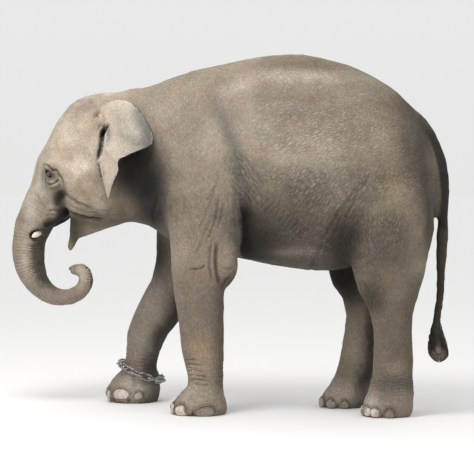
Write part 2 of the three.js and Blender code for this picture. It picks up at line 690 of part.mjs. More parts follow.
// ---------------------------------------------------------------- ankle chain
// One oval link is a bent wire: rings of corners round the oval, each facing away from its end's
// centre. Its copies stand round the ankle.
function chainLinks() {
  const straight = (CHAIN.long - CHAIN.wide) / 2;
  const bow = CHAIN.wide / 2 - CHAIN.wire;
  const points = [];
  for (const end of [1, -1]) {
    for (const eighths of [-2, -1, 0, 1, 2]) {
      const turn = (eighths * Math.PI) / 4;
      const out = new THREE.Vector3(end * Math.cos(turn), end * Math.sin(turn), 0);
      for (const corner of angles(CHAIN.sides)) {
        const middle = new THREE.Vector3(end * straight, 0, CHAIN.wire * Math.sin(corner));
        points.push(middle.addScaledVector(out, bow + CHAIN.wire * Math.cos(corner)));
      }
    }
  }
  const faces = [];
  for (let ring = 0; ring < points.length; ring += CHAIN.sides) {
    const after = (ring + CHAIN.sides) % points.length;
    for (let k = 0; k < CHAIN.sides; k++) {
      const next = (k + 1) % CHAIN.sides;
      faces.push(ring + k, after + k, after + next, ring + k, after + next, ring + next);
    }
  }
  const oval = new THREE.BufferGeometry().setFromPoints(points).setIndex(faces);
  const spot = (n) => {
    const angle = (2 * Math.PI * n) / CHAIN.links;
    const x = CHAIN.reachX * Math.cos(angle);
    const y = CHAIN.y + CHAIN.reachY * Math.sin(angle);
    return new THREE.Vector3(CHAIN.x + x, y, CHAIN.z + CHAIN.slope * x);
  };
  return Array.from({ length: CHAIN.links }, (_, n) => {
    const at = spot(n);
    const along = spot(n + 0.5).sub(spot(n - 0.5)).normalize();
    const up = new THREE.Vector3(at.x - CHAIN.x, at.y - CHAIN.y, 0).cross(along).normalize();
    const twist = (n % 2 ? -1 : 1) * CHAIN.twist;
    const wide = up.clone().cross(along).multiplyScalar(Math.cos(twist)).addScaledVector(up, Math.sin(twist));
    const frame = new THREE.Matrix4().makeBasis(along, wide, along.clone().cross(wide)).setPosition(at);
    return solid(oval.clone().applyMatrix4(frame));
  });
}

// ---------------------------------------------------------------- the flesh, whole and then parted
let flesh = joined([barrel, head, ...LEGS.map(leg)]);
flesh = flesh.subtract(solid(tube(TAIL, SIDES.tail, 1, RIGHT, GAP)));
for (const side of [LEFT, RIGHT]) {
  flesh = flesh.subtract(ear(side, GAP)).subtract(eyeball(side, GAP)).subtract(tush(side, GAP));
}

const trunkBoards = TRUNK_CUTS.map((n) => {
  const [before, row, after] = TRUNK.slice(n - 1, n + 2);
  const along = [after.x - before.x, after.z - before.z];
  return board({ x: row.x, z: row.z, along, reach: row.deep + 12, half: row.half + 20 });
});
const headBoards = [
  board({ x: -1190, z: 1268, along: [0.26, 1], reach: 190, half: 300 }), // above the upper lip
  board({ x: -850, z: 1227, along: [0.23, 1], reach: 112, half: 300 }), // line of the mouth
  board({ x: -740, z: 1150, along: [1, 0.05], reach: 66, half: 300 }), // behind the jaw
  board({ x: -700, z: 1600, along: [1, -0.06], reach: 462, half: 400 }), // back of the head
  board({ x: -470, z: 1620, along: [1, -0.13], reach: 530, half: 500 }), // foot of the neck
];
const legRow = (rows, z) => nearest(smoothRows(rows, 7), (row) => Math.abs(row.z - z));
const legBoards = LEGS.flatMap(({ rows, side, cuts }) =>
  cuts.map((z) => {
    const row = legRow(rows, z);
    const x = (row.front + row.back) / 2;
    const reach = (row.back - row.front) / 2 + 70;
    return board({ x, y: side * row.mid, z, along: [0, 1], reach, half: row.half + 60 });
  }),
);
const bodies = [...trunkBoards, ...headBoards, ...legBoards]
  .reduce((whole, cut) => whole.subtract(cut), flesh)
  .decompose();

// Where the middle of each part of the flesh lies.
const FLESH = {
  torso: [400, 0, 1550],
  neck: [-590, 0, 1600],
  head: [-980, 0, 1600],
  lower_jaw: [-900, 0, 1120],
  trunk_root: [-1270, 0, 1180],
  trunk_upper: [-1310, 0, 930],
  trunk_lower: [-1200, 0, 730],
  trunk_curl: [-990, 0, 720],
  trunk_tip: [-980, 0, 860],
};
for (const { name, side, rows, cuts } of LEGS) {
  const parts = [`${name}_upper`, `${name}_lower`, name.replace("leg", "foot")];
  const levels = [...cuts, 0];
  parts.forEach((part, n) => {
    const z = (levels[n] + levels[n + 1]) / 2;
    const row = legRow(rows, z);
    FLESH[part] = [(row.front + row.back) / 2, side * row.mid, z];
  });
}

// ---------------------------------------------------------------- the nodes
const FINISH = {
  skin: { color: 0x8a8073, roughness: 0.85, metalness: 0 },
  ear: { color: 0xb0a48f, roughness: 0.85, metalness: 0 },
  eye: { color: 0x2a1c14, roughness: 0.15, metalness: 0 },
  ivory: { color: 0xe6d9bd, roughness: 0.4, metalness: 0 },
  hair: { color: 0x1c1a19, roughness: 0.6, metalness: 0 },
  steel: { color: 0x86888a, roughness: 0.45, metalness: 0.9 },
};
const elephant = new THREE.Group();

function addNode(name, made, finish) {
  const mesh = made.getMesh();
  const geometry = new THREE.BufferGeometry();
  geometry.setAttribute("position", new THREE.BufferAttribute(new Float32Array(mesh.vertProperties), 3));
  geometry.setIndex(new THREE.BufferAttribute(new Uint32Array(mesh.triVerts), 1));
  const node = new THREE.Mesh(geometry, new THREE.MeshStandardMaterial(FINISH[finish]));
  node.name = name;
  elephant.add(node);
}

for (const [name, middle] of Object.entries(FLESH)) {
  const place = new THREE.Vector3(...middle);
  const distance = (body) => {
    const { min, max } = body.boundingBox();
    return new THREE.Vector3(...min).lerp(new THREE.Vector3(...max), 0.5).distanceTo(place);
  };
  addNode(name, nearest(bodies, distance), "skin");
}

const tailBoards = TAIL_CUTS.map((n) => {
  const [before, row, after] = TAIL.slice(n - 1, n + 2);
  const along = [after.x - before.x, after.z - before.z];
  return board({ x: row.x, z: row.z, along, reach: row.deep + 10, half: row.half + 10 });
});
const tail = joined([solid(tube(TAIL, SIDES.tail, 1)), ...tuft()]);
const lengths = tailBoards
  .reduce((whole, cut) => whole.subtract(cut), tail)
  .decompose()
  .sort((a, b) => b.boundingBox().max[2] - a.boundingBox().max[2]);
addNode("tail_upper", lengths[0], "skin");
addNode("tail_lower", lengths[1], "skin");
addNode("tail_tuft", lengths[2], "hair");

for (const [name, side] of [["left", LEFT], ["right", RIGHT]]) {
  addNode(`ear_${name}`, ear(side), "ear");
  addNode(`eye_${name}`, eyeball(side), "eye");
  addNode(`tush_${name}`, tush(side), "ivory");
}
chainLinks().forEach((made, n) => addNode(`chain_link_${String(n + 1).padStart(2, "0")}`, made, "steel"));

export default elephant;
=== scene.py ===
# A life-size Asian elephant cow as a museum shows her: one hide over all her flesh, with her eyes,
# tushes, nails and tail hair set in it, and a plain steel chain round her right fore ankle.
# Metres. +Z is up, -X points to her head and -Y to her left side.
import math

import bmesh
import bpy
import numpy as np
from mathutils import Matrix, Vector
from mathutils.bvhtree import BVHTree


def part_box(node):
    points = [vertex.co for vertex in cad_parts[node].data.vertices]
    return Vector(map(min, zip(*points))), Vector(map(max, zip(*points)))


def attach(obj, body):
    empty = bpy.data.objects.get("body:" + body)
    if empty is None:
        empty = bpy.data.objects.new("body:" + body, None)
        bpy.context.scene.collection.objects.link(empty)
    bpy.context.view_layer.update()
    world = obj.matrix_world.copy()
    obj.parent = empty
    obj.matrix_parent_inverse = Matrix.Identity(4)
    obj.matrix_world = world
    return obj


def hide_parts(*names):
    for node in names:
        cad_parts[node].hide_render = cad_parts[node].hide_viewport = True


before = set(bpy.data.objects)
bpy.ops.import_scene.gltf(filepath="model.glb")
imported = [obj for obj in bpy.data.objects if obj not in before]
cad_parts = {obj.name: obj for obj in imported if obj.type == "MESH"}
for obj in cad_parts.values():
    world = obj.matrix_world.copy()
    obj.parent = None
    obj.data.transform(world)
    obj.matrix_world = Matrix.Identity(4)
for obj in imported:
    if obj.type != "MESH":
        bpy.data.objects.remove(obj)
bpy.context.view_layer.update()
LEFT, RIGHT = -1, 1


# ---- Studio ------------------------------------------------------------------
# A plain pale floor under a broad soft light from above and a little ahead of her, with a pale
# room round it. The camera stands level with her flank, a few steps towards her tail.
def material(name, colour, roughness):
    made = bpy.data.materials.new(name)
    made.use_nodes = True
    shader = made.node_tree.nodes["Principled BSDF"]
    shader.inputs["Base Color"].default_value = (*colour, 1)
    shader.inputs["Roughness"].default_value = roughness
    return made, made.node_tree.nodes, made.node_tree.links, shader


bpy.ops.object.select_all(action="DESELECT")
bpy.ops.mesh.primitive_plane_add(size=120)
floor = bpy.context.object
floor.name = "studio_floor"
floor.data.materials.append(material("pale_floor", (0.84, 0.84, 0.835), 0.9)[0])

room = bpy.data.worlds.new("pale_room")
room.use_nodes = True
tree = room.node_tree
upward = tree.nodes.new("ShaderNodeSeparateXYZ")
tree.links.new(tree.nodes.new("ShaderNodeTexCoord").outputs["Generated"], upward.inputs[0])
sky = tree.nodes.new("ShaderNodeValToRGB")
for stop, at, shade in zip(sky.color_ramp.elements, (0.0, 0.75), ((0.80, 0.80, 0.795), (1.0, 1.0, 1.0))):
    stop.position = at
    stop.color = (*shade, 1)
tree.links.new(upward.outputs["Z"], sky.inputs[0])
tree.links.new(sky.outputs[0], tree.nodes["Background"].inputs["Color"])
bpy.context.scene.world = room
bpy.context.scene.view_settings.view_transform = "Standard"

glow = bpy.data.lights.new("overhead", "AREA")
glow.shape, glow.size, glow.energy = "DISK", 2.2, 150
glow.color = (1, 0.98, 0.95)
lamp = bpy.data.objects.new("overhead", glow)
lamp.location = (-1.2, -2.4, 5.4)
lamp.rotation_euler = (Vector((0, 0, 1.2)) - Vector(lamp.location)).to_track_quat("-Z", "Y").to_euler()
bpy.context.collection.objects.link(lamp)

CAMERA = {"azimuth": 8, "elevation": 2.5, "away": 12, "aim": (0.038, 0, 1.085), "lens": 144.7}
around, above = math.radians(CAMERA["azimuth"]), math.radians(CAMERA["elevation"])
back = Vector((math.sin(around) * math.cos(above), -math.cos(around) * math.cos(above), math.sin(above)))
lens = bpy.data.cameras.new("camera")
lens.lens = CAMERA["lens"]
lens.sensor_width = 36
lens.clip_end = 200
camera = bpy.data.objects.new("camera", lens)
camera.location = Vector(CAMERA["aim"]) + CAMERA["away"] * back
camera.rotation_euler = (-back).to_track_quat("-Z", "Y").to_euler()
bpy.context.collection.objects.link(camera)
bpy.context.scene.camera = camera


# ---- Flesh -------------------------------------------------------------------
# Trunk, head, body, legs and tail under one hide. It starts as the parted solids closed into one
# skin, with the bare end of the tail added, and its flats are smoothed away without losing bulk.
WEAVE = 0.009
BARE = ("eye", "tush", "ear", "chain", "tail_tuft")
TAIL_END = [  # x, z, half depth, half width
    (1.306, 0.680, 0.022, 0.019),
    (1.292, 0.590, 0.022, 0.018),
    (1.290, 0.520, 0.025, 0.017),
    (1.294, 0.460, 0.029, 0.017),
    (1.301, 0.405, 0.029, 0.016),
    (1.306, 0.362, 0.020, 0.013),
    (1.307, 0.340, 0.006, 0.005),
]
flesh_nodes = [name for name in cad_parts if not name.startswith(BARE)]


def added(name, mesh):
    piece = bpy.data.objects.new(name, mesh)
    bpy.context.collection.objects.link(piece)
    return piece


def settled(name, form):
    """The mesh that a bmesh holds, with the bmesh let go."""
    mesh = bpy.data.meshes.new(name)
    form.to_mesh(mesh)
    form.free()
    return mesh


def only(piece):
    bpy.ops.object.select_all(action="DESELECT")
    piece.select_set(True)
    bpy.context.view_layer.objects.active = piece


def finish_modifiers(piece):
    only(piece)
    for change in list(piece.modifiers):
        bpy.ops.object.modifier_apply(modifier=change.name)


def round_shaded(piece):
    only(piece)
    bpy.ops.object.shade_smooth()


def tapered(points, widths, sides, out=(0, 1, 0)):
    """Rings round a line: the points, half depth and half width at each, as vertices and faces."""
    points = np.array(points, float)
    along = np.gradient(points, axis=0)
    along /= np.linalg.norm(along, axis=1)[:, None]
    wide = np.cross(np.cross(along, out), along)
    wide /= np.linalg.norm(wide, axis=1)[:, None]
    deep = np.cross(along, wide)
    turn = 2 * np.pi * np.arange(sides) / sides
    rings = [
        at + d * np.outer(np.cos(turn), deep[n]) + w * np.outer(np.sin(turn), wide[n])
        for n, (at, (d, w)) in enumerate(zip(points, widths))
    ]
    faces = []
    for n in range(len(points) - 1):
        for k in range(sides):
            a, b = n * sides + k, n * sides + (k + 1) % sides
            faces.append((a, b, b + sides, a + sides))
    faces.append(tuple(range(sides))[::-1])
    faces.append(tuple((len(points) - 1) * sides + k for k in range(sides)))
    return np.vstack(rings), faces


CLOSES = 0.0004  # how far each solid grows, so that the thin cuts between them close
shell = bmesh.new()
for name in flesh_nodes:
    part = bmesh.new()
    part.from_mesh(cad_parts[name].data)
    bmesh.ops.remove_doubles(part, verts=part.verts, dist=1e-5)
    part.normal_update()
    for corner in part.verts:
        corner.co += CLOSES * corner.normal
    shell.from_mesh(settled("part", part))
corners, faces = tapered([(x, 0, z) for x, z, _, _ in TAIL_END], [(d, w) for _, _, d, w in TAIL_END], 16)
tail_end = bpy.data.meshes.new("tail_end")
tail_end.from_pydata(corners.tolist(), [], faces)
shell.from_mesh(tail_end)
hide = added("hide", settled("hide", shell))
weave = hide.modifiers.new("weave", "REMESH")
weave.mode = "VOXEL"
weave.voxel_size = WEAVE
finish_modifiers(hide)


def read(mesh):
    place = np.empty(len(mesh.vertices) * 3)
    mesh.vertices.foreach_get("co", place)
    facing = np.empty(len(mesh.vertices) * 3)
    mesh.vertex_normals.foreach_get("vector", facing)
    return place.reshape(-1, 3), facing.reshape(-1, 3)


def write(mesh, place):
    mesh.vertices.foreach_set("co", place.ravel())
    mesh.update()


def edges_of(mesh):
    pairs = np.empty(len(mesh.edges) * 2, np.int32)
    mesh.edges.foreach_get("vertices", pairs)
    return pairs.reshape(-1, 2)


def relax(values, pairs, rounds, share):
    """Draws each value towards the mean of its neighbours, by its share, this many times."""
    count = len(values)
    a, b = pairs[:, 0], pairs[:, 1]
    around = np.maximum(1, np.bincount(a, minlength=count) + np.bincount(b, minlength=count))
    flat = values.reshape(count, -1).copy()
    share = np.broadcast_to(share, count)
    for _ in range(rounds):
        for k in range(flat.shape[1]):
            near = np.bincount(a, flat[b, k], count) + np.bincount(b, flat[a, k], count)
            flat[:, k] += share * (near / around - flat[:, k])
    return flat.reshape(values.shape)


def step(low, high, value):
    """0 below low, 1 above high, and a soft change between."""
    t = np.clip((value - low) / (high - low), 0, 1)
    return t * t * (3 - 2 * t)


def bell(t):
    """1 at 0, falling softly away on both sides."""
    return np.exp(-(t**2))


def blob(x, z, at, reach):
    """1 at a spot in side view, falling softly away all round it."""
    return np.exp(-(((x - at[0]) / reach[0]) ** 2) - ((z - at[1]) / reach[1]) ** 2)


def reread():
    """Reads where each corner of the hide lies now, and which way it faces."""
    global place, facing, x, y, z
    place, facing = read(hide.data)
    x, y, z = place.T


reread()
in_head = step(-0.62, -0.8, x) * step(1.0, 1.1, z)
in_trunk = step(-0.86, -0.92, x) * step(1.16, 1.06, z) * step(0.6, 0.62, z)
in_trunk = np.maximum(in_trunk, step(-1.06, -1.1, x) * step(1.3, 1.2, z))
in_leg = step(0.98, 0.8, z) * (1 - in_trunk) * step(1.28, 1.22, x)
in_tail = step(1.24, 1.28, x) * step(1.2, 1.1, z)
lips = np.clip(blob(x, z, (-1.04, 1.13), (0.07, 0.16)) * 1.6, 0, 1)
crisp = (0.68 * in_head, 0.72 * in_leg, 0.8 * in_leg * step(0.2, 0.15, z), 0.88 * in_trunk, 0.92 * in_tail)
soften = np.min([1 - kept for kept in (*crisp, 0.93 * lips)], axis=0)
pairs = edges_of(hide.data)
smooth = relax(place, pairs, 90, 0.6 * soften)
write(hide.data, smooth)
smooth, facing = read(hide.data)
lost = np.einsum("ij,ij->i", place - smooth, facing)
smooth = smooth + facing * relax(lost, pairs, 50, 0.9)[:, None]
rump_top = blob(smooth[:, 0], smooth[:, 2], (1.17, 1.89), (0.13, 0.11))
write(hide.data, relax(smooth, pairs, 70, 0.6 * rump_top))


# ---- Ears --------------------------------------------------------------------
# Thin flaps of skin and gristle that hang from the side of the head. Each is a sheet between its
# root and its free margin, with a rolled ridge down the front, a shallow cup and a turned back rim.
EAR = {"rungs": 120, "columns": 38, "root": 0.022, "margin": 0.0075, "cup": 0.034, "ridge": 0.016}
EAR_ROOT = [(-0.772, 1.884), (-0.786, 1.820), (-0.785, 1.740), (-0.780, 1.660), (-0.774, 1.575)]
EAR_MARGIN = [  # x, how far out, z
    (-0.775, 0.172, 1.912),
    (-0.712, 0.198, 1.940),
    (-0.618, 0.222, 1.938),
    (-0.552, 0.248, 1.894),
    (-0.498, 0.280, 1.818),
    (-0.450, 0.306, 1.737),
    (-0.449, 0.322, 1.668),
    (-0.519, 0.338, 1.630),
    (-0.613, 0.346, 1.589),
    (-0.653, 0.342, 1.560),
    (-0.655, 0.330, 1.495),
    (-0.696, 0.312, 1.415),
    (-0.727, 0.292, 1.330),
    (-0.748, 0.290, 1.450),
    (-0.760, 0.278, 1.552),
]


def spline(points, count):
    """A smooth line through the points, cut into even lengths."""
    points = np.array(points, float)
    ends = np.vstack([2 * points[0] - points[1], points, 2 * points[-1] - points[-2]])
    t = np.linspace(0, 1, 24, endpoint=False)[:, None]
    runs = []
    for n in range(len(points) - 1):
        a, b, c, d = ends[n : n + 4]
        cubic = (2 * a - 5 * b + 4 * c - d) * t**2 + (3 * b - a - 3 * c + d) * t**3
        runs.append(b + (c - a) * t / 2 + cubic / 2)
    fine = np.vstack([*runs, points[-1:]])
    run = np.r_[0, np.cumsum(np.linalg.norm(np.diff(fine, axis=0), axis=1))]
    even = np.linspace(0, run[-1], count)
    return np.column_stack([np.interp(even, run, fine[:, k]) for k in range(fine.shape[1])])


def noise(place, size, seed):
    """Smooth random lumps of this size, from -1 to 1."""
    q = place / size + 31.7 * (seed + 1)
    base = np.floor(q).astype(np.int64)
    f = q - base
    f = f * f * (3 - 2 * f)
    total = np.zeros(len(place))
    for corner in range(8):
        off = np.array([corner & 1, corner >> 1 & 1, corner >> 2 & 1])
        c = base + off
        h = (c[:, 0] * 73856093) ^ (c[:, 1] * 19349663) ^ (c[:, 2] * 83492791) ^ (seed * 9176 + 77)
        h = (h ^ (h >> 13)) * 1274126177 & 0x7FFFFFFF
        h = (h ^ (h >> 11)) * 668265263 & 0x7FFFFFFF
        total += np.prod(np.where(off, f, 1 - f), axis=1) * ((h >> 7 & 0xFFFF) / 32767.5 - 1)
    return total


def tree_of(mesh):
    mesh.calc_loop_triangles()
    points = [v.co.copy() for v in mesh.vertices]
    return BVHTree.FromPolygons(points, [tuple(t.vertices) for t in mesh.loop_triangles])


def ear_sheet(side, skull):
    rows, columns = EAR["rungs"] + 1, EAR["columns"] + 1
    root = [
        (x, side * abs(skull.ray_cast(Vector((x, side, z)), Vector((0, -side, 0)))[0].y), z)
        for x, z in EAR_ROOT
    ]
    start = spline(root, rows)
    end = spline([(x, side * out, z) for x, out, z in EAR_MARGIN], rows)
    for n, rise in enumerate(step(0, 0.17, np.linspace(0, 1, rows))):
        on_skull = skull.ray_cast(Vector((end[n, 0], side, end[n, 2])), Vector((0, -side, 0)))[0]
        if rise < 1 and on_skull:
            level = abs(on_skull.y) + 0.003
            end[n, 1] = side * (level + rise * (abs(end[n, 1]) - level))
    reach = np.linalg.norm(end - start, axis=1)
    share = np.minimum(1, reach / 0.17)[:, None]
    start = start + np.array([-0.011, -side * 0.024, 0])
    u = np.linspace(0, 1, rows)[:, None] * np.ones(columns)
    v = np.ones(rows)[:, None] * np.linspace(0, 1, columns)
    middle = start[:, None] + (end - start)[:, None] * v[..., None]
    ridge = bell((v - 0.20) / 0.08) * step(0.03, 0.16, u)
    bulge = share * (EAR["cup"] * np.sin(np.pi * v) + EAR["ridge"] * ridge)
    turned = step(0.72, 1, v) * step(0.13, 0.24, u) * step(0.52, 0.4, u)
    hollow = bell((v - 0.4) / 0.13) * step(0.1, 0.3, u) * step(0.95, 0.7, u)
    gutter = bell((v - 0.07) / 0.05) * step(0.10, 0.3, u) * step(0.85, 0.6, u)
    flat = middle.reshape(-1, 3)
    wave = noise(flat * [1, 0, 1], 0.11, 3).reshape(v.shape) * 0.008 * step(0.2, 0.9, v) * share
    veins = np.abs(noise(flat * [1, 0, 0.6], 0.035, 4)).reshape(v.shape)
    veins = 0.0016 * (0.4 - veins) * step(0.15, 0.4, v) * share
    pressed = 0.03 * turned**1.5
    middle[..., 1] += side * (bulge + wave + veins - pressed - 0.008 * hollow * share - 0.016 * gutter)
    crumple = np.sin(70 * u + 5 * v) * turned * step(1, 0.9, v)
    middle[..., 1] += side * 0.0022 * crumple
    du, dv = np.gradient(middle, axis=0), np.gradient(middle, axis=1)
    out = np.cross(du, dv)
    out /= np.linalg.norm(out, axis=2)[..., None]
    out *= np.sign(out[rows // 2, columns // 2, 1]) * side
    rolled = np.sqrt(np.clip(1 - step(0.9, 1.02, v) ** 2, 0, 1)) * np.clip((1 - v) / 0.02, 0, 1) ** 0.5
    thick = (EAR["root"] + (EAR["margin"] - EAR["root"]) * np.clip(v * 1.25, 0, 1)) * rolled
    thick *= (0.55 + 0.45 * step(0, 0.06, u) * step(1, 0.93, u))
    front = (middle + out * thick[..., None] / 2).reshape(-1, 3)
    rear = (middle - out * thick[..., None] / 2).reshape(-1, 3)
    size = rows * columns
    faces = []
    for n in range(rows - 1):
        for m in range(columns - 1):
            a = n * columns + m
            quad = (a, a + 1, a + columns + 1, a + columns)
            faces += [quad, tuple(size + k for k in quad[::-1])]
    for n in range(rows - 1):
        a = n * columns
        faces.append((a, a + columns, size + a + columns, size + a))
    for n in (0, rows - 1):
        for m in range(columns - 1):
            a = n * columns + m
            cap = (a, a + 1, size + a + 1, size + a)
            faces.append(cap if n else cap[::-1])
    points_of = np.vstack([front, rear])
    quads = faces[: 2 * (rows - 1) * (columns - 1)]
    form = bmesh.new()
    points = [form.verts.new(p) for p in points_of]
    for face in faces:
        form.faces.new([points[k] for k in face])
    bmesh.ops.remove_doubles(form, verts=form.verts, dist=2e-5)
    bmesh.ops.recalc_face_normals(form, faces=form.faces)
    if form.calc_volume(signed=True) < 0:
        bmesh.ops.reverse_faces(form, faces=form.faces)
    surface = BVHTree.FromPolygons([Vector(p) for p in points_of], quads)
    return added("ear_sheet", settled("ear_sheet", form)), surface


skull = tree_of(hide.data)
sheets, ear_trees = [], {}
for side in (LEFT, RIGHT):
    sheet, ear_trees[side] = ear_sheet(side, skull)
    sheets.append(sheet)


# ---- Head and trunk, cut finer ------------------------------------------------
# The face, trunk and feet carry the closest folds, so the skin there is cut finer, and round the
# eyes and the trunk's tip finer still. Then the ears are grown on.
eye_at = {
    side: np.mean(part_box("eye_left" if side < 0 else "eye_right"), axis=0) for side in (LEFT, RIGHT)
}
TIP = np.array([-1.035, 0, 0.868])


def cut_finer(wanted):
    """Divides the edges whose two ends are wanted, by a rule on their places."""
    form = bmesh.new()
    form.from_mesh(hide.data)
    form.verts.ensure_lookup_table()
    place = np.array([v.co for v in form.verts])
    keep = wanted(place)
    cut = [e for e in form.edges if keep[e.verts[0].index] and keep[e.verts[1].index]]
    bmesh.ops.subdivide_edges(form, edges=cut, cuts=1, use_grid_fill=True, smooth=0)
    form.to_mesh(hide.data)
    form.free()


def near_any(place, spots, reach):
    return np.any([np.linalg.norm(place - spot, axis=1) < reach for spot in spots], axis=0)


MOUTH = [
    (-1.034, 1.268), (-1.014, 1.262), (-1.010, 1.235), (-1.013, 1.17), (-1.027, 1.10), (-1.041, 1.04),
    (-1.050, 1.00), (-1.12, 1.00), (-1.13, 1.147), (-1.103, 1.160), (-1.078, 1.180), (-1.058, 1.203),
    (-1.044, 1.232),
]  # fmt: skip
wedge = bmesh.new()
face = wedge.faces.new([wedge.verts.new((x, -0.26, z)) for x, z in MOUTH])
grown = bmesh.ops.extrude_face_region(wedge, geom=[face])["geom"]
bmesh.ops.translate(wedge, vec=(0, 0.52, 0), verts=[v for v in grown if isinstance(v, bmesh.types.BMVert)])
bmesh.ops.recalc_face_normals(wedge, faces=wedge.faces)
open_mouth = added("open_mouth", settled("open_mouth", wedge))


def fused(other, operation):
    change = hide.modifiers.new("fuse", "BOOLEAN")
    change.operation = operation
    change.solver = "MANIFOLD"
    change.object = other
    finish_modifiers(hide)
    bpy.data.objects.remove(other)


fused(open_mouth, "DIFFERENCE")
cut_finer(lambda p: p[:, 2] < 0.40)
cut_finer(lambda p: ((p[:, 0] < -0.74) & (p[:, 2] > 1.0)) | ((p[:, 0] < -0.86) & (p[:, 2] > 0.6)))
cut_finer(lambda p: near_any(p, [*eye_at.values(), TIP], 0.085))
cut_finer(lambda p: near_any(p, eye_at.values(), 0.045))
reread()
pairs = edges_of(hide.data)
fine = np.maximum(step(-0.72, -0.76, x) * step(0.98, 1.02, z), step(-0.84, -0.88, x) * step(0.6, 0.62, z))
write(hide.data, relax(place, pairs, 6, 0.5 * fine))
for sheet in sheets:
    fused(sheet, "UNION")

# ---- Folds ---------------------------------------------------------------------
# Loose hide gathers wherever she moves: rings down the trunk, folds at the lips, lids, armpits,
# knees and wrists, and a close mesh of wrinkles over the flanks.
reread()
# How much painted shade each corner gets from the crease, fold or hole it lies in.
crease = np.zeros(len(place))


def refresh():
    write(hide.data, place)
    reread()


def near_line(points, at=None):
    """How far each place lies from a line drawn in side view, and how far along it that is."""
    at = place[:, [0, 2]] if at is None else at
    line = np.array(points, float)
    best, along = np.full(len(at), 9.0), np.zeros(len(at))
    lengths = np.linalg.norm(np.diff(line, axis=0), axis=1)
    whole, run = lengths.sum(), 0
    for a, b, long in zip(line[:-1], line[1:], lengths):
        t = np.clip((at - a) @ (b - a) / long**2, 0, 1)
        gap = np.linalg.norm(at - a - t[:, None] * (b - a), axis=1)
        closer = gap < best
        best = np.where(closer, gap, best)
        along = np.where(closer, (run + t * long) / whole, along)
        run += long
    return best, along


def fold(line, width, depth, dark, lip=0.45, sides=(LEFT, RIGHT), rough=0.3):
    """Presses a furrow along a smooth line in side view, with a raised lip on each side of it."""
    line = spline(line, 24)
    low, high = line.min(0) - 5 * width, line.max(0) + 5 * width
    flat = place[:, [0, 2]]
    inside = np.all((flat > low) & (flat < high), axis=1)
    if len(sides) == 1:
        inside &= place[:, 1] * sides[0] > 0
    spots = np.where(inside)[0]
    outward = step(-0.2, 0.35, facing[spots, 1] * np.sign(place[spots, 1]))
    jitter = rough * width * noise(place[spots], 3 * width, 11)
    gap, along = near_line(line, flat[spots] + jitter[:, None])
    ends = step(0, 0.22, along) * step(1, 0.78, along) * outward
    press = -bell(gap / width) + lip * bell((gap - 2 * width) / width)
    place[spots] += facing[spots] * (depth * press * ends)[:, None]
    crease[spots] = np.maximum(crease[spots], dark * bell(gap / (0.8 * width)) * ends)


def swell(at, reach, lift, sides=(LEFT, RIGHT)):
    """Raises a soft swelling, or a hollow where the lift is negative."""
    global place
    for side in sides:
        away = (place - np.array(at) * [1, side, 1]) / reach
        place += facing * (lift * np.exp(-(away**2).sum(1)))[:, None]


def furrows(amount, phase, depth, dark):
    """Rows of close furrows: phase counts them, and amount says where they are."""
    spots = np.where(amount > 0.02)[0]
    ridge = np.abs(np.sin(np.pi * phase[spots])) ** 0.6
    place[spots] += facing[spots] * (depth * (ridge - 0.75) * amount[spots])[:, None]
    crease[spots] = np.maximum(crease[spots], dark * bell(ridge / 0.45) * amount[spots])


# Face: brow, cheekbone, the hollow between cheek and trunk, and the swelling round the tush.
swell((-0.93, 0.25, 1.53), (0.11, 0.2, 0.045), 0.009)
swell((-0.98, 0.25, 1.47), (0.07, 0.2, 0.040), 0.005)
swell((-1.074, 0.2, 1.320), (0.052, 0.12, 0.060), -0.030)
swell((-1.040, 0.2, 1.375), (0.040, 0.12, 0.034), -0.016)
swell((-1.095, 0.2, 1.430), (0.045, 0.1, 0.026), 0.014)
swell((-1.10, 0.2, 1.545), (0.07, 0.1, 0.022), 0.010)
swell((-0.90, 0.2, 1.75), (0.11, 0.2, 0.10), -0.016)
swell((-0.89, 0.24, 1.38), (0.09, 0.2, 0.06), 0.014)
swell((-1.20, 0.13, 1.16), (0.05, 0.1, 0.05), 0.012)
swell((-1.14, 0.2, 1.26), (0.05, 0.1, 0.04), 0.010)
swell((-0.68, 0, 2.0), (0.10, 0.12, 0.07), 0.012, sides=(LEFT,))
swell((0.86, 0.2, 0.26), (0.05, 0.12, 0.10), 0.022, sides=(RIGHT,))
refresh()

# Mouth line and the folds of the lips and cheek.
fold([(-1.03, 1.256), (-1.00, 1.244), (-0.957, 1.230), (-0.906, 1.214), (-0.84, 1.204), (-0.76, 1.200)],
     0.009, 0.015, 1.0)  # fmt: skip
fold([(-1.01, 1.296), (-0.97, 1.278), (-0.92, 1.258), (-0.865, 1.246), (-0.80, 1.240)],
     0.006, 0.006, 0.45, rough=0.8)  # fmt: skip
fold([(-0.95, 1.285), (-0.90, 1.268), (-0.83, 1.258), (-0.74, 1.252), (-0.66, 1.248)],
     0.006, 0.003, 0.22, rough=1)  # fmt: skip
fold([(-0.90, 1.232), (-0.84, 1.224), (-0.76, 1.222), (-0.67, 1.222)], 0.006, 0.003, 0.22, rough=1)
fold([(-0.93, 1.182), (-0.86, 1.172), (-0.79, 1.168)], 0.007, 0.003, 0.22, rough=1)
fold([(-0.75, 1.178), (-0.68, 1.186), (-0.61, 1.205), (-0.56, 1.24)], 0.008, 0.004, 0.3, rough=1)
fold([(-1.03, 1.398), (-1.007, 1.352), (-0.966, 1.328), (-0.922, 1.302), (-0.873, 1.278), (-0.823, 1.268)],
     0.011, 0.009, 0.6, rough=0.7)  # fmt: skip
fold([(-1.11, 1.262), (-1.086, 1.303), (-1.062, 1.342), (-1.028, 1.388)], 0.020, 0.010, 0.6, rough=0.6)
fold([(-1.152, 1.243), (-1.118, 1.256), (-1.085, 1.252), (-1.06, 1.238)], 0.009, 0.008, 0.7)
fold([(-1.17, 1.215), (-1.13, 1.225), (-1.09, 1.222)], 0.007, 0.005, 0.4)
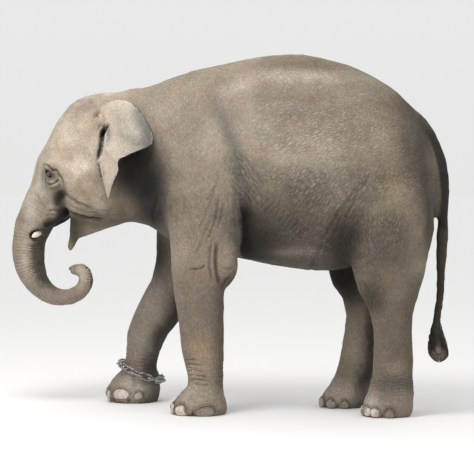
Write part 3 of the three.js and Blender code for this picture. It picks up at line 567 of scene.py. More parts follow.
fold([(-1.24, 1.38), (-1.20, 1.32), (-1.175, 1.26), (-1.16, 1.21)], 0.012, 0.004, 0.25)
fold([(-1.045, 1.22), (-1.03, 1.16), (-1.035, 1.09), (-1.045, 1.04)], 0.010, 0.005, 0.5)
refresh()

# The gum that each tush comes through: a groove round it inside a soft swelling.
gap, _ = near_line([(-1.226, 1.101), (-1.240, 1.092)])
gum = step(0.06, 0.08, np.abs(y)) * (x > -1.30) * (x < -1.12)
swollen = 0.008 * bell((gap - 0.038) / 0.014) - 0.010 * np.exp(-((gap / 0.021) ** 4))
place += facing * (gum * swollen)[:, None]
crease = np.maximum(crease, gum * 1.1 * np.exp(-((gap / 0.025) ** 4)))
refresh()

# Trunk: rings across it, closer towards the tip, deepest on its front.
TRUNK = [
    (-1.120, 1.450), (-1.192, 1.320), (-1.247, 1.215), (-1.282, 1.130), (-1.305, 1.045), (-1.309, 0.965),
    (-1.298, 0.885), (-1.268, 0.812), (-1.228, 0.754), (-1.168, 0.709), (-1.095, 0.691), (-1.022, 0.702),
    (-0.962, 0.741), (-0.931, 0.800), (-0.943, 0.852), (-0.982, 0.872), (-1.030, 0.866),
]  # fmt: skip
gap, along = near_line(spline(TRUNK, 90))
on_trunk = step(0.17, 0.13, gap) * step(0.06, 0.16, along) * step(1.0, 0.975, along)
on_trunk *= (x < -0.86) & ~((x > -1.11) & (z > 0.96))
count = 1.33 * (30 * along + 26 * along**2)
wander = 0.33 * noise(place, 0.05, 5) + 0.16 * noise(place, 0.02, 6)
patchy = 0.45 + 0.55 * step(-0.5, 0.4, noise(place, 0.06, 7))
inner = 1 + 0.5 * step(0.0, 0.5, facing[:, 0]) * step(0.7, 0.8, z)
furrows(on_trunk * patchy * inner * (0.35 + 0.65 * step(0.2, 0.4, along)), count + wander, 0.0042, 0.75)
refresh()

# Legs: creases across wrist, knee and ankle, the elbow's lobe and the long folds above it.
near_fore = step(-0.42, -0.38, x) * step(0.14, 0.1, x) * (y < 0)
far_fore = step(-0.92, -0.88, x) * step(-0.24, -0.3, x) * (y > 0) * (1 - on_trunk)
near_hind = step(0.70, 0.74, x) * step(1.26, 1.22, x) * (y < 0)
far_hind = step(0.5, 0.54, x) * step(1.26, 1.22, x) * (y > 0)
wave = 0.4 * noise(place, 0.07, 8) + 0.2 * noise(place, 0.03, 9)
patchy = step(-0.35, 0.35, noise(place, 0.08, 10))
wrist = bell((z - 0.26) / 0.10) * (near_fore + 0.9 * far_fore)
furrows(wrist * (0.45 + 0.55 * patchy), z / 0.023 + 0.25 * x / 0.06 + wave, 0.0050, 0.7)
ankle = bell((z - 0.22) / 0.09) * (near_hind + 0.9 * far_hind)
furrows(ankle * (0.35 + 0.65 * patchy), z / 0.018 + 0.5 * x / 0.06 + 1.5 * wave, 0.0036, 0.6)
knee = blob(x, z, (0.89, 0.72), (0.075, 0.12)) * near_hind
bow = np.hypot(x - 1.04, 0.8 * (z - 0.78))
furrows(knee * (0.5 + 0.5 * patchy), bow / 0.024 + wave, 0.0062, 0.9)
knee = blob(x, z, (0.70, 0.66), (0.075, 0.12)) * far_hind
furrows(knee * (0.5 + 0.5 * patchy), np.hypot(x - 0.86, 0.8 * (z - 0.72)) / 0.026 + wave, 0.005, 0.7)
shank = 0.35 * step(0.3, 0.4, z) * step(0.75, 0.6, z) * (near_hind + near_fore + far_hind + far_fore)
furrows(np.clip(shank, 0, 1) * patchy, z / 0.045 + 0.5 * x / 0.06 + 1.6 * wave, 0.0022, 0.3)
refresh()
for line, width, depth, dark in (
    ([(-0.030, 1.08), (-0.040, 0.99), (-0.040, 0.90), (-0.028, 0.84), (-0.006, 0.775)], 0.010, 0.012, 0.8),
    ([(-0.060, 1.10), (-0.076, 1.00), (-0.078, 0.92), (-0.066, 0.86), (-0.045, 0.81)], 0.008, 0.007, 0.5),
    ([(0.075, 0.93), (0.045, 0.905), (0.010, 0.905), (-0.012, 0.925)], 0.008, 0.004, 0.3),
    ([(0.05, 0.865), (0.02, 0.835), (-0.002, 0.80), (-0.006, 0.765)], 0.008, 0.006, 0.6),
    ([(-0.215, 0.90), (-0.19, 0.903), (-0.144, 0.906), (-0.115, 0.918), (-0.092, 0.938)], 0.006, 0.006, 0.7),
):
    fold(line, width, depth, dark, sides=(LEFT,))
for low, high, deep in (
    ((-0.10, 1.06), (-0.015, 1.33), 0.005),
    ((-0.045, 1.13), (0.012, 1.32), 0.004),
    ((-0.13, 1.09), (-0.065, 1.24), 0.0045),
    ((-0.075, 1.16), (-0.012, 1.37), 0.004),
    ((-0.155, 1.14), (-0.09, 1.28), 0.003),
    ((-0.12, 1.22), (-0.035, 1.42), 0.0035),
    ((-0.17, 0.98), (-0.12, 1.13), 0.003),
    ((-0.09, 1.32), (-0.01, 1.50), 0.003),
):
    bent = ((low[0] + high[0]) / 2 + 0.010, (low[1] + high[1]) / 2)
    fold([low, bent, high], 0.007, deep, 100 * deep, sides=(LEFT,), rough=0.7)
slack = blob(x, z, (-0.10, 1.22), (0.085, 0.17)) * (y < 0)
furrows(slack, (x - 0.5 * z) / 0.021 + 0.5 * wave, 0.0032, 0.50)
refresh()
for start in (0.035, 0.062, 0.088):
    run = [(start, 1.38), (start + 0.012, 1.30), (start + 0.022, 1.20), (start + 0.012, 1.12)]
    fold(run, 0.007, 0.003, 0.35, sides=(LEFT,))
for line in (
    ((-0.245, 0.335), (-0.20, 0.345), (-0.155, 0.350)),
    ((-0.24, 0.305), (-0.19, 0.315), (-0.13, 0.312)),
    ((-0.23, 0.275), (-0.17, 0.28), (-0.10, 0.268)),
    ((-0.215, 0.250), (-0.15, 0.250), (-0.085, 0.236)),
    ((-0.205, 0.222), (-0.14, 0.222), (-0.075, 0.210)),
    ((-0.19, 0.195), (-0.13, 0.192), (-0.08, 0.185)),
):
    fold(line, 0.005, 0.0045, 0.42, sides=(LEFT,), rough=1.4)
fold([(-0.47, 1.16), (-0.464, 1.24), (-0.443, 1.284), (-0.43, 1.329), (-0.418, 1.384)],
     0.010, 0.006, 0.5, sides=(LEFT,))  # fmt: skip
fold([(-0.30, 1.35), (-0.285, 1.25), (-0.295, 1.15)], 0.012, 0.003, 0.2)
fold([(-0.255, 1.40), (-0.235, 1.28), (-0.245, 1.20)], 0.010, 0.003, 0.2)
refresh()

# The armpit sinks in behind the upper leg, whose rear edge stands out over it.
behind = x - np.interp(z, [0.95, 1.05, 1.15, 1.25, 1.35, 1.45], [0.085, 0.098, 0.108, 0.112, 0.110, 0.105])
behind = behind + 0.004 * noise(place, 0.04, 34)
level = step(0.99, 1.07, z) * step(1.42, 1.22, z) * (y < 0)
shade = step(0.93, 0.97, z) * step(1.42, 1.22, z) * (y < 0)
sunk = step(-0.008, 0.016, behind) * bell(np.clip(behind, 0, 1) / 0.085)
raised = bell((behind + 0.03) / 0.025)
place += facing * (level * (0.008 * raised - 0.050 * sunk))[:, None]
# The strip behind the leg's edge that gets near-black painted shadow.
armpit = shade * step(-0.004, 0.010, behind)
refresh()

# Toes swell round the nails. Each foot: its middle, how far it reaches ahead and aside, its outer
# side, and for each nail its bearing, half its width, how high its middle is and how clean it is.
FEET = (
    (-0.160, -0.265, 0.171, 0.143, LEFT,  # left forefoot
     ((-68, 0.028, 0.034, 0.7), (-24, 0.034, 0.036, 0.8), (20, 0.036, 0.038, 0.8), (56, 0.042, 0.033, 1.0),
      (112, 0.056, 0.023, 0.05))),
    (-0.680, 0.265, 0.174, 0.143, RIGHT,  # right forefoot
     ((-112, 0.024, 0.050, 0.6), (-70, 0.052, 0.062, 1.0), (-30, 0.036, 0.050, 0.7), (14, 0.038, 0.050, 0.5),
      (58, 0.038, 0.046, 0.3))),
    (1.003, -0.200, 0.155, 0.127, LEFT,  # left hind foot
     ((-38, 0.030, 0.030, 0.6), (2, 0.034, 0.034, 0.8), (36, 0.031, 0.034, 1.0), (62, 0.028, 0.032, 1.0),
      (96, 0.030, 0.024, 0.0))),
    (0.697, 0.195, 0.147, 0.127, RIGHT,  # right hind foot
     ((-98, 0.024, 0.026, 0.1), (-62, 0.028, 0.028, 0.2), (-26, 0.034, 0.030, 0.35), (14, 0.032, 0.030, 0.3),
      (56, 0.028, 0.028, 0.2))),
)  # fmt: skip
for x0, y0, deep, wide, side, arc in FEET:
    for bearing, half, level, _ in arc:
        angle = math.radians(bearing)
        at = np.array([x0 - deep * math.cos(angle), y0 + side * wide * math.sin(angle), level])
        squat = min(1, 0.030 / half) + 0.1
        gap = np.linalg.norm((place - at) / [1, 1, squat], axis=1) + 0.004 * noise(place, 0.025, 31)
        place += facing * (0.009 * bell(gap / (1.3 * half)))[:, None]
        for out, cut in ((1.08, 0.0050), (1.42, 0.0025)):
            ring = bell((gap - out * half) / 0.006) * step(level - 0.02, level + 0.01, z)
            place -= facing * (cut * ring)[:, None]
            crease = np.maximum(crease, 160 * cut * ring)
    for n in range(len(arc) - 1):
        angle = math.radians((arc[n][0] + arc[n + 1][0]) / 2)
        between = np.array([x0 - deep * math.cos(angle), y0 + side * wide * math.sin(angle)])
        gap = np.linalg.norm(place[:, :2] - between, axis=1) + 0.003 * noise(place, 0.02, 35)
        cleft = bell(gap / 0.009) * step(0.055, 0.02, z)
        place -= facing * (0.006 * cleft)[:, None]
        crease = np.maximum(crease, 0.9 * cleft)
foot = step(0.20, 0.10, z)
place += facing * (foot * (0.0035 * noise(place, 0.028, 32) + 0.0018 * noise(place, 0.013, 33)))[:, None]
refresh()

# Body: the groove behind the shoulder blade, slack folds behind it and ahead of the thigh, and
# rows of slanting furrows over the lower flank.
fold([(-0.157, 2.06), (-0.095, 1.968), (-0.033, 1.846), (0.029, 1.724), (0.084, 1.601), (0.121, 1.449),
      (0.14, 1.296), (0.134, 1.112)], 0.05, 0.014, 0.2, 0.5)  # fmt: skip
fold([(0.05, 1.70), (0.09, 1.60), (0.125, 1.47), (0.145, 1.33)], 0.010, 0.004, 0.4)
for lift, reach in (
    (0, 1), (-0.04, 0.9), (-0.075, 1), (-0.115, 0.8), (-0.15, 0.9), (-0.19, 0.65), (-0.225, 0.6),
):  # fmt: skip
    top = np.array([0.085 + 0.12 * lift, 1.645 + lift])
    run = np.array([[0, 0], [0.10, -0.110], [0.205, -0.250]]) * reach
    fold(top + run, 0.0075, 0.0036, 0.46, rough=1.1)
for start in range(6):
    low = np.array([-0.055, -0.040]) * start
    run = np.array([(0.925, 1.505), (0.83, 1.37), (0.755, 1.20), (0.71, 1.03)])
    fold(run + low * [1, 1 + 0.2 * start], 0.009, 0.0036, 0.34, rough=1.2)
refresh()


def aside():
    """1 where the hide faces to its own side, and 0 where it faces the other way."""
    return step(-0.1, 0.3, facing[:, 1] * np.sign(y))


flank = step(0.1, 0.3, x) * step(0.95, 0.78, x) * step(1.0, 1.1, z) * step(1.9, 1.6, z)
flank = flank * aside() * (0.35 + 0.65 * step(1.5, 1.25, z))
slant = (0.78 * x - 0.62 * z) / 0.030
wave = 0.55 * noise(place, 0.08, 12) + 0.25 * noise(place, 0.03, 13)
patchy = step(-0.45, 0.35, noise(place, 0.07, 14))
furrows(flank * (0.3 + 0.7 * patchy), slant + wave, 0.0046, 0.60)
behind = blob(x, z, (0.16, 1.45), (0.10, 0.2)) * aside()
furrows(behind * (0.3 + 0.7 * patchy), (0.87 * x + 0.5 * z) / 0.028 + wave, 0.0038, 0.48)
thigh = blob(x, z, (0.88, 1.12), (0.13, 0.25)) * aside()
furrows(thigh * (0.3 + 0.7 * patchy), x / 0.027 + wave, 0.0042, 0.55)
neck = step(-0.62, -0.5, x) * step(-0.2, -0.36, x) * step(1.15, 1.3, z) * step(2.0, 1.8, z)
neck = neck * aside()
furrows(0.8 * neck * patchy, (x + 0.25 * z) / 0.045 + 1.3 * wave, 0.0028, 0.28)
lump = 0.0022 * noise(place, 0.035, 15) + 0.0035 * noise(place, 0.12, 16)
calm = 1 - 0.7 * step(-0.7, -0.8, x) * step(1.25, 1.3, z)
place = place + facing * (lump * calm)[:, None]
refresh()

# Eyes: a deep almond opening in thick folded lids, with a brow above and a bag below.
OPENING = {"long": 0.031, "high": 0.0150, "tilt": 0.66, "ball": 0.020}
for side in (LEFT, RIGHT):
    middle = eye_at[side]
    away = np.linalg.norm(place - middle, axis=1)
    out = facing[away < 0.05].mean(axis=0)
    out /= np.linalg.norm(out)
    front = np.array([-math.cos(OPENING["tilt"]), 0, math.sin(OPENING["tilt"])])
    front -= out * (front @ out)
    front /= np.linalg.norm(front)
    up = np.cross(out, front)
    up *= np.sign(up[2])
    spots = np.where(away < 0.11)[0]
    offset = place[spots] - middle
    a, b, c = offset @ front, offset @ up, offset @ out
    radius = np.hypot(a, b)
    high = OPENING["high"] * (1 - 0.5 * np.clip((a / OPENING["long"]) ** 2, 0, 1))
    g = np.sqrt((a / OPENING["long"]) ** 2 + (b / high) ** 2)
    ball = np.sqrt(np.clip(OPENING["ball"] ** 2 - radius**2, 0, 1))
    lid = bell((radius - 0.024) / 0.012)
    rise = np.maximum(c, c + 0.5 * lid * np.maximum(0, 0.019 - c))
    hug = np.maximum(rise, np.where(radius < OPENING["ball"], ball + 0.0022, rise))
    upper = 0.0035 * bell((g - 1.35) / 0.25) * step(-0.004, 0.006, b)
    rings = 0.0007 * np.sin(2 * np.pi * radius / 0.0105) * bell((radius - 0.043) / 0.02)
    sunk = np.minimum(ball, 0.014) - 0.006
    opened = step(1.12, 0.92, g)
    level = (hug + upper + rings * step(1.2, 1.8, g)) * (1 - opened) + sunk * opened
    place[spots] += out * (level - c)[:, None]
    crease[spots] = np.maximum(crease[spots], bell((g - 1.02) / 0.24))
refresh()
fold([(-1.176, 1.520), (-1.146, 1.537), (-1.103, 1.517), (-1.063, 1.496), (-1.028, 1.458), (-1.022, 1.419),
      (-1.032, 1.387)], 0.009, 0.010, 0.6, rough=0.7)  # fmt: skip
swell((-1.080, 0.19, 1.415), (0.036, 0.1, 0.016), 0.009)
refresh()
fold([(-1.140, 1.437), (-1.12, 1.420), (-1.095, 1.420), (-1.065, 1.434), (-1.043, 1.458)],
     0.006, 0.008, 0.8, 0.8, rough=0.4)  # fmt: skip
fold([(-1.135, 1.398), (-1.10, 1.388), (-1.06, 1.398), (-1.036, 1.425)], 0.007, 0.006, 0.5, rough=0.5)
fold([(-1.150, 1.478), (-1.148, 1.44), (-1.142, 1.40), (-1.134, 1.36)], 0.006, 0.005, 0.5, rough=0.5)
fold([(-1.166, 1.50), (-1.172, 1.46), (-1.168, 1.42)], 0.006, 0.003, 0.3, rough=0.5)
refresh()

# Nostrils: two holes in the trunk's tip, below its one finger.
tip_way = np.array([-0.99, 0, -0.10])
for side in (LEFT, RIGHT):
    offset = place - (TIP + [-0.005, side * 0.012, -0.004])
    deep = offset @ tip_way
    wide = np.linalg.norm(offset - np.outer(deep, tip_way), axis=1)
    hole = np.exp(-((wide / 0.0085) ** 4)) * (deep > -0.03) * (np.linalg.norm(offset, axis=1) < 0.05)
    place -= np.outer(hole * 0.028, tip_way)
    crease = np.maximum(crease, hole)
refresh()

# The dark slit where the ear leaves the head.
SLIT_BELOW = [(-0.760, 1.765), (-0.777, 1.725), (-0.779, 1.685), (-0.787, 1.643), (-0.797, 1.600),
              (-0.797, 1.560), (-0.784, 1.500), (-0.771, 1.430)]  # fmt: skip
SLIT = [(-0.716, 1.800), (-0.738, 1.784), (-0.762, 1.757), (-0.776, 1.728), (-0.768, 1.688), (-0.775, 1.632),
        (-0.786, 1.575)]  # fmt: skip
fold(SLIT, 0.0105, 0.022, 1.3, 0.10, rough=0.1)
fold([(-0.748, 1.775), (-0.772, 1.745), (-0.776, 1.715), (-0.764, 1.690)], 0.014, 0.016, 1.3, 0.0, rough=0.1)
refresh()

# ---- Thinning --------------------------------------------------------------------
# Where the hide lies smooth it needs fewer corners, which keeps the one skin light to handle.
MOST_TRIANGLES = 194000


def carry(mesh, name, values):
    """Notes a value at each corner of a mesh, which stays with it as the mesh changes."""
    mesh.attributes.new(name, "FLOAT", "POINT").data.foreach_set("value", values)


def carried(name):
    """Takes back what was noted at each corner of the hide."""
    values = np.empty(len(hide.data.vertices))
    hide.data.attributes[name].data.foreach_get("value", values)
    hide.data.attributes.remove(hide.data.attributes[name])
    return values


place[:, 2] = np.maximum(place[:, 2], 0)
refresh()
carry(hide.data, "crease", crease)
carry(hide.data, "armpit", armpit)
thin = hide.modifiers.new("thin", "DECIMATE")
hide.data.calc_loop_triangles()
thin.ratio = min(1, MOST_TRIANGLES / len(hide.data.loop_triangles))
finish_modifiers(hide)

# ---- Hide ------------------------------------------------------------------------
# Bare grey-brown skin, paler and yellower on the face and ears, with a painted highlight along the back,
# painted shade below and in every fold, and a cracked mesh of wrinkles too fine to model.
reread()
crease, in_armpit = carried("crease"), carried("armpit")
outward = step(-0.15, 0.35, facing[:, 1] * np.sign(y))
HIDE_TONES = {
    # The two darkest tones serve only for painted shade.
    "deep_shade": (25, 24, 22),
    "shadow": (45, 42, 38),
    "umber": (66, 60, 50),
    "slate": (80, 77, 73),
    "earth": (90, 79, 68),
    "brown": (106, 95, 84),
    "mud": (126, 110, 92),
    "cool_grey": (114, 113, 110),
    "taupe": (132, 118, 105),
    "drab": (146, 134, 119),
    "mauve": (146, 130, 122),
    "stone": (158, 147, 137),
    "ochre": (163, 143, 110),
    "tan": (171, 152, 130),
    "sand": (174, 162, 145),
    "pink": (174, 156, 146),
    "pale": (186, 174, 160),
    "straw": (205, 184, 145),
    "dust": (200, 190, 178),
    "bone": (222, 208, 192),
}
tone = np.ones((len(place), 3)) * HIDE_TONES["drab"]
ragged = 1 + (noise(place, 0.09, 21) * 0.25 + noise(place, 0.03, 22) * 0.12)


def paint(amount, colour):
    global tone
    amount = np.clip(amount, 0, 1)[:, None]
    tone = tone * (1 - amount) + np.array(HIDE_TONES[colour]) * amount


def patch(x0, z0, long, high, colour, amount, turn=0, sides=(LEFT, RIGHT)):
    """A soft-edged patch of a tone, placed in side view. On the right legs it lies on the inner side."""
    cos, sin = math.cos(turn), math.sin(turn)
    a = ((x - x0) * cos + (z - z0) * sin) / long
    b = ((z - z0) * cos - (x - x0) * sin) / high
    seen = np.isin(np.sign(y), sides) * (1 if len(sides) == 1 else 0.25 + 0.75 * outward)
    if sides == (RIGHT,):
        seen = seen * step(0.35, -0.1, facing[:, 1])
    paint(amount * np.exp(-((a * a + b * b) * ragged) ** 1.3) * seen, colour)


head = step(-0.60, -0.74, x) * step(1.0, 1.12, z)
face = head * step(1.20, 1.32, z)
paint(0.9 * face, "sand")
paint(0.85 * step(0.95, 0.6, z) * (x > -0.9), "taupe")
# Painted shade: rear sides of the legs, darker on the right legs, the rump's rear and the body's downward
# faces.
paint(0.5 * step(0.1, 0.9, facing[:, 0]) * step(0.95, 0.8, z) * step(0.10, 0.2, z) * (x > -0.9), "umber")
paint(0.8 * step(-0.1, 0.6, facing[:, 0]) * step(0.95, 0.8, z) * (y > 0) * (x > -0.9), "shadow")
paint(0.9 * step(0.40, 0.85, facing[:, 0]) * step(0.9, 1.05, x) * step(0.9, 1.2, z), "umber")
paint(0.6 * (1 - step(-0.62, -0.8, x)) * step(0.0, -0.75, facing[:, 2]) * step(0.7, 0.85, z), "slate")
# The tail darker below, and painted shade down the rear edge of the rump and the tail.
paint(0.95 * step(1.22, 1.27, x) * step(1.45, 1.3, z), "umber")
paint(0.85 * step(1.24, 1.30, x) * step(1.80, 1.60, z), "umber")

# Patches over the back and flanks: where each lies and how far it reaches, its tone, how strong it
# is, its turn, and its side where it has only one.
for row in (
    (0.48, 2.16, 0.335, 0.045, "mud", 0.75, -0.02),  # upper back
    (0.48, 2.08, 0.365, 0.045, "pale", 0.7, -0.04),  # painted highlight along the ribs' tops
    (0.09, 2.02, 0.12, 0.05, "pale", 0.6, 0.25),  # painted highlight, forward
    (0.85, 1.98, 0.135, 0.05, "drab", 0.6, -0.6),  # painted highlight, rear
    (0.43, 1.91, 0.17, 0.05, "stone", 0.6),  # purplish patches
    (1.03, 1.86, 0.135, 0.095, "brown", 0.6, -0.8),  # haunch top
    (0.06, 1.93, 0.075, 0.055, "drab", 0.5),  # behind the shoulder blade
    (0.00, 1.81, 0.035, 0.205, "cool_grey", 0.5, 0.45),  # painted shade in the shoulder groove
    (-0.06, 1.69, 0.085, 0.135, "pale", 0.5),  # shoulder blade
    (0.22, 1.75, 0.11, 0.135, "sand", 0.5),  # ribs ahead
    (0.53, 1.63, 0.245, 0.16, "pale", 0.6),  # ribs
    (0.11, 1.50, 0.06, 0.16, "cool_grey", 0.5, 0.4),  # shoulder's slack folds
    (0.43, 1.24, 0.255, 0.185, "earth", 0.6),  # painted shade on the low flank
    (0.42, 1.01, 0.22, 0.035, "stone", 0.8),  # lighter band along the belly
    (0.45, 1.945, 0.26, 0.03, "mud", 0.5, -0.03),  # brown arc below the pale band
    (0.26, 1.08, 0.13, 0.12, "umber", 0.85, 0, (LEFT,)),  # painted shade in the armpit
    (0.745, 1.03, 0.10, 0.19, "shadow", 0.8, -0.25),  # painted shade in the flank hollow
    (0.93, 1.69, 0.135, 0.195, "tan", 0.5),  # hip
    (1.15, 1.62, 0.08, 0.255, "brown", 0.8, 0.15),  # rump
    (1.29, 1.54, 0.05, 0.295, "drab", 0.7, 0.1),  # rump's edge
    (1.03, 1.40, 0.085, 0.11, "ochre", 0.6),  # haunch ochre
    (1.03, 1.11, 0.22, 0.24, "brown", 0.7),  # haunch
):
    patch(*row)

# The left legs.
for row in (
    (0.97, 0.95, 0.14, 0.10, "brown", 0.6),  # near thigh, low
    (1.03, 0.21, 0.11, 0.08, "slate", 0.65),  # near ankle
    (-0.20, 1.17, 0.135, 0.205, "drab", 0.7),  # near shoulder to elbow
    (-0.24, 1.29, 0.085, 0.075, "mud", 0.5),  # near forearm, tan
    (-0.27, 1.03, 0.06, 0.1, "pink", 0.5),  # near forearm, pinkish
    (-0.16, 0.86, 0.06, 0.05, "ochre", 0.5),  # below the elbow crease, ochre
    (0.03, 0.82, 0.035, 0.03, "earth", 0.8),  # foot of the elbow lobe
    (0.085, 1.24, 0.025, 0.2, "slate", 0.6),  # painted shade on the near leg's rear edge
    (-0.15, 0.68, 0.135, 0.27, "taupe", 0.7),  # near forearm
    (-0.11, 0.33, 0.08, 0.105, "tan", 0.7),  # near wrist, ochre
    (-0.15, 0.43, 0.07, 0.06, "ochre", 0.5),  # above the near wrist, ochre
    (-0.19, 0.27, 0.04, 0.04, "straw", 0.5),  # near wrist's folds, ochre
    (-0.20, 0.10, 0.07, 0.06, "pale", 0.5),  # top of the near forefoot
    (-0.14, 0.13, 0.145, 0.1, "sand", 0.7),  # near forefoot
    (0.92, 0.74, 0.085, 0.11, "umber", 0.7),  # near knee
    (1.00, 0.82, 0.055, 0.1, "mud", 0.5),  # near knee, tan
    (1.03, 0.48, 0.125, 0.21, "brown", 0.7),  # near shank
    (1.06, 0.30, 0.065, 0.055, "tan", 0.35),  # near shank, tan
    (0.91, 0.07, 0.06, 0.09, "dust", 0.85),  # near hind toes
    (1.06, 0.10, 0.105, 0.08, "mauve", 0.7),  # near hind foot
):
    patch(*row, sides=(LEFT,))

# The right legs.
for row in (
    (-0.54, 0.98, 0.125, 0.18, "deep_shade", 0.9),  # painted shade on the far leg under the chest
    (-0.54, 0.63, 0.115, 0.165, "stone", 0.7),  # far forearm
    (-0.61, 0.37, 0.09, 0.125, "stone", 0.7),  # far wrist
    (-0.65, 0.10, 0.14, 0.1, "dust", 0.7),  # far forefoot
    (0.72, 0.79, 0.125, 0.14, "deep_shade", 0.85),  # painted shade on the far thigh
    (0.66, 0.86, 0.15, 0.1, "deep_shade", 0.95),  # painted shade on the far thigh's top
    (0.76, 0.40, 0.065, 0.125, "sand", 0.6),  # far shank
    (0.83, 0.31, 0.03, 0.055, "cool_grey", 0.5),  # far shank, bluish
    (0.69, 0.08, 0.14, 0.09, "pale", 0.7),  # far hind foot
):
    patch(*row, sides=(RIGHT,))

# Neck, head and trunk, and the bare end of the tail.
for row in (
    (-0.38, 1.87, 0.135, 0.105, "sand", 0.6),  # nape
    (-0.27, 1.69, 0.1, 0.11, "stone", 0.5),  # neck, lower
    (-0.58, 1.50, 0.17, 0.18, "shadow", 1.0, -0.2),  # painted shade behind the ear
    (-0.56, 1.57, 0.13, 0.09, "shadow", 0.9),  # painted shadow under the ear's rear edge
    (-0.48, 1.40, 0.13, 0.2, "deep_shade", 0.9),  # neck in the ear's shade
    (-0.47, 1.23, 0.085, 0.075, "shadow", 0.9),  # painted shade on the throat
    (-0.93, 1.91, 0.16, 0.055, "mauve", 0.7, 0.1),  # crown
    (-0.87, 1.895, 0.07, 0.04, "mauve", 0.7),  # crown, by the ear
    (-0.96, 1.77, 0.125, 0.1, "pale", 0.5),  # forehead
    (-0.84, 1.70, 0.045, 0.13, "sand", 0.7),  # temple
    (-0.91, 1.52, 0.085, 0.055, "bone", 0.7, 0.25),  # painted highlight on the cheekbone
    (-0.86, 1.40, 0.1, 0.075, "tan", 0.8),  # cheek
    (-0.83, 1.18, 0.2, 0.055, "brown", 0.85),  # jaw
    (-0.69, 1.28, 0.085, 0.075, "mud", 0.7),  # jaw, rear
    (-1.10, 1.46, 0.055, 0.065, "brown", 0.8),  # round the eye
    (-1.085, 1.425, 0.03, 0.015, "bone", 0.6, -0.3),  # painted highlight on the bag under the eye
    (-1.06, 1.34, 0.045, 0.06, "shadow", 0.85, -0.6),  # painted shade in the hollow below the eye
    (-1.045, 1.275, 0.03, 0.04, "umber", 0.8),  # painted shade in the corner of the mouth
    (-1.18, 1.41, 0.035, 0.11, "dust", 0.6),  # face ahead of the eye
    (-1.16, 1.49, 0.025, 0.085, "cool_grey", 0.5),  # green tint by the trunk
    (-1.06, 1.22, 0.035, 0.055, "shadow", 0.9, -0.3),  # painted shade under the upper lip
    (-0.99, 1.13, 0.06, 0.11, "umber", 0.9),  # lower lip
    (-0.965, 1.262, 0.05, 0.01, "pink", 0.7, -0.35),  # pink edge of the upper lip
    (-1.26, 1.24, 0.055, 0.135, "dust", 0.6),  # trunk's base
    (-1.15, 1.15, 0.04, 0.07, "shadow", 0.8, -0.5),  # painted shade on the inner trunk, at the lip
    (-1.225, 1.105, 0.045, 0.03, "umber", 0.8, 0.5),  # painted shade round the tush
    (-1.20, 1.04, 0.045, 0.03, "brown", 0.7),  # below the tush
    (-1.29, 0.96, 0.055, 0.135, "dust", 0.6),  # trunk, middle
    (-1.16, 0.73, 0.14, 0.055, "mauve", 0.6),  # trunk, low
    (-0.95, 0.86, 0.055, 0.075, "bone", 0.6),  # trunk, tip
    (1.302, 0.385, 0.02, 0.025, "sand", 0.9),  # bare end of the tail
):
    patch(*row)
# Painted shade in a strip down the top of the tail where it leaves the rump.
TAIL_TOP = [(1.184, 1.855), (1.232, 1.781), (1.295, 1.647), (1.331, 1.503), (1.345, 1.342), (1.324, 1.162)]
gap, along = near_line(spline(TAIL_TOP, 30))
paint(0.85 * step(0.036, 0.020, gap) * step(0, 0.25, along) * (x > 1.1), "shadow")

# Dark lines that no light reaches: under the upper lip and down the slit behind each ear's root.
lip, along = near_line([(-1.19, 1.150), (-1.13, 1.158), (-1.09, 1.182), (-1.055, 1.215), (-1.030, 1.262)])
under_lip = bell(lip / 0.024) * step(0, 0.15, along) * step(1.28, 1.25, z)
paint(0.95 * under_lip, "deep_shade")
# Painted shade on the inner side of the trunk.
inner = step(-1.02, -1.08, x) * step(0.70, 0.80, z) * step(1.22, 1.12, z) * step(0.05, 0.65, facing[:, 0])
paint(0.75 * inner, "umber")
gap, along = near_line(spline(SLIT, 24))
slit = bell(gap / (0.006 + 0.009 * bell((along - 0.35) / 0.25))) * (np.abs(y) > 0.14)
paint(0.95 * slit * step(0, 0.08, along), "deep_shade")
patch(-0.817, 1.852, 0.022, 0.015, "umber", 0.85, 0.4)  # spot on the crown
patch(-1.116, 1.486, 0.035, 0.02, "shadow", 0.8, -0.66)  # painted shade at the lids' inner edge
# Near-black painted shadow deep in the armpit, behind the upper leg's edge.
fade = bell(np.clip((x - 0.115) / 0.125, 0, 9)) * step(1.38, 1.22, z)
paint(0.97 * in_armpit * fade, "deep_shade")

mottled = 1 + head * (0.09 * noise(place, 0.05, 41) + 0.06 * noise(place, 0.022, 42))
tone = tone * mottled[:, None]

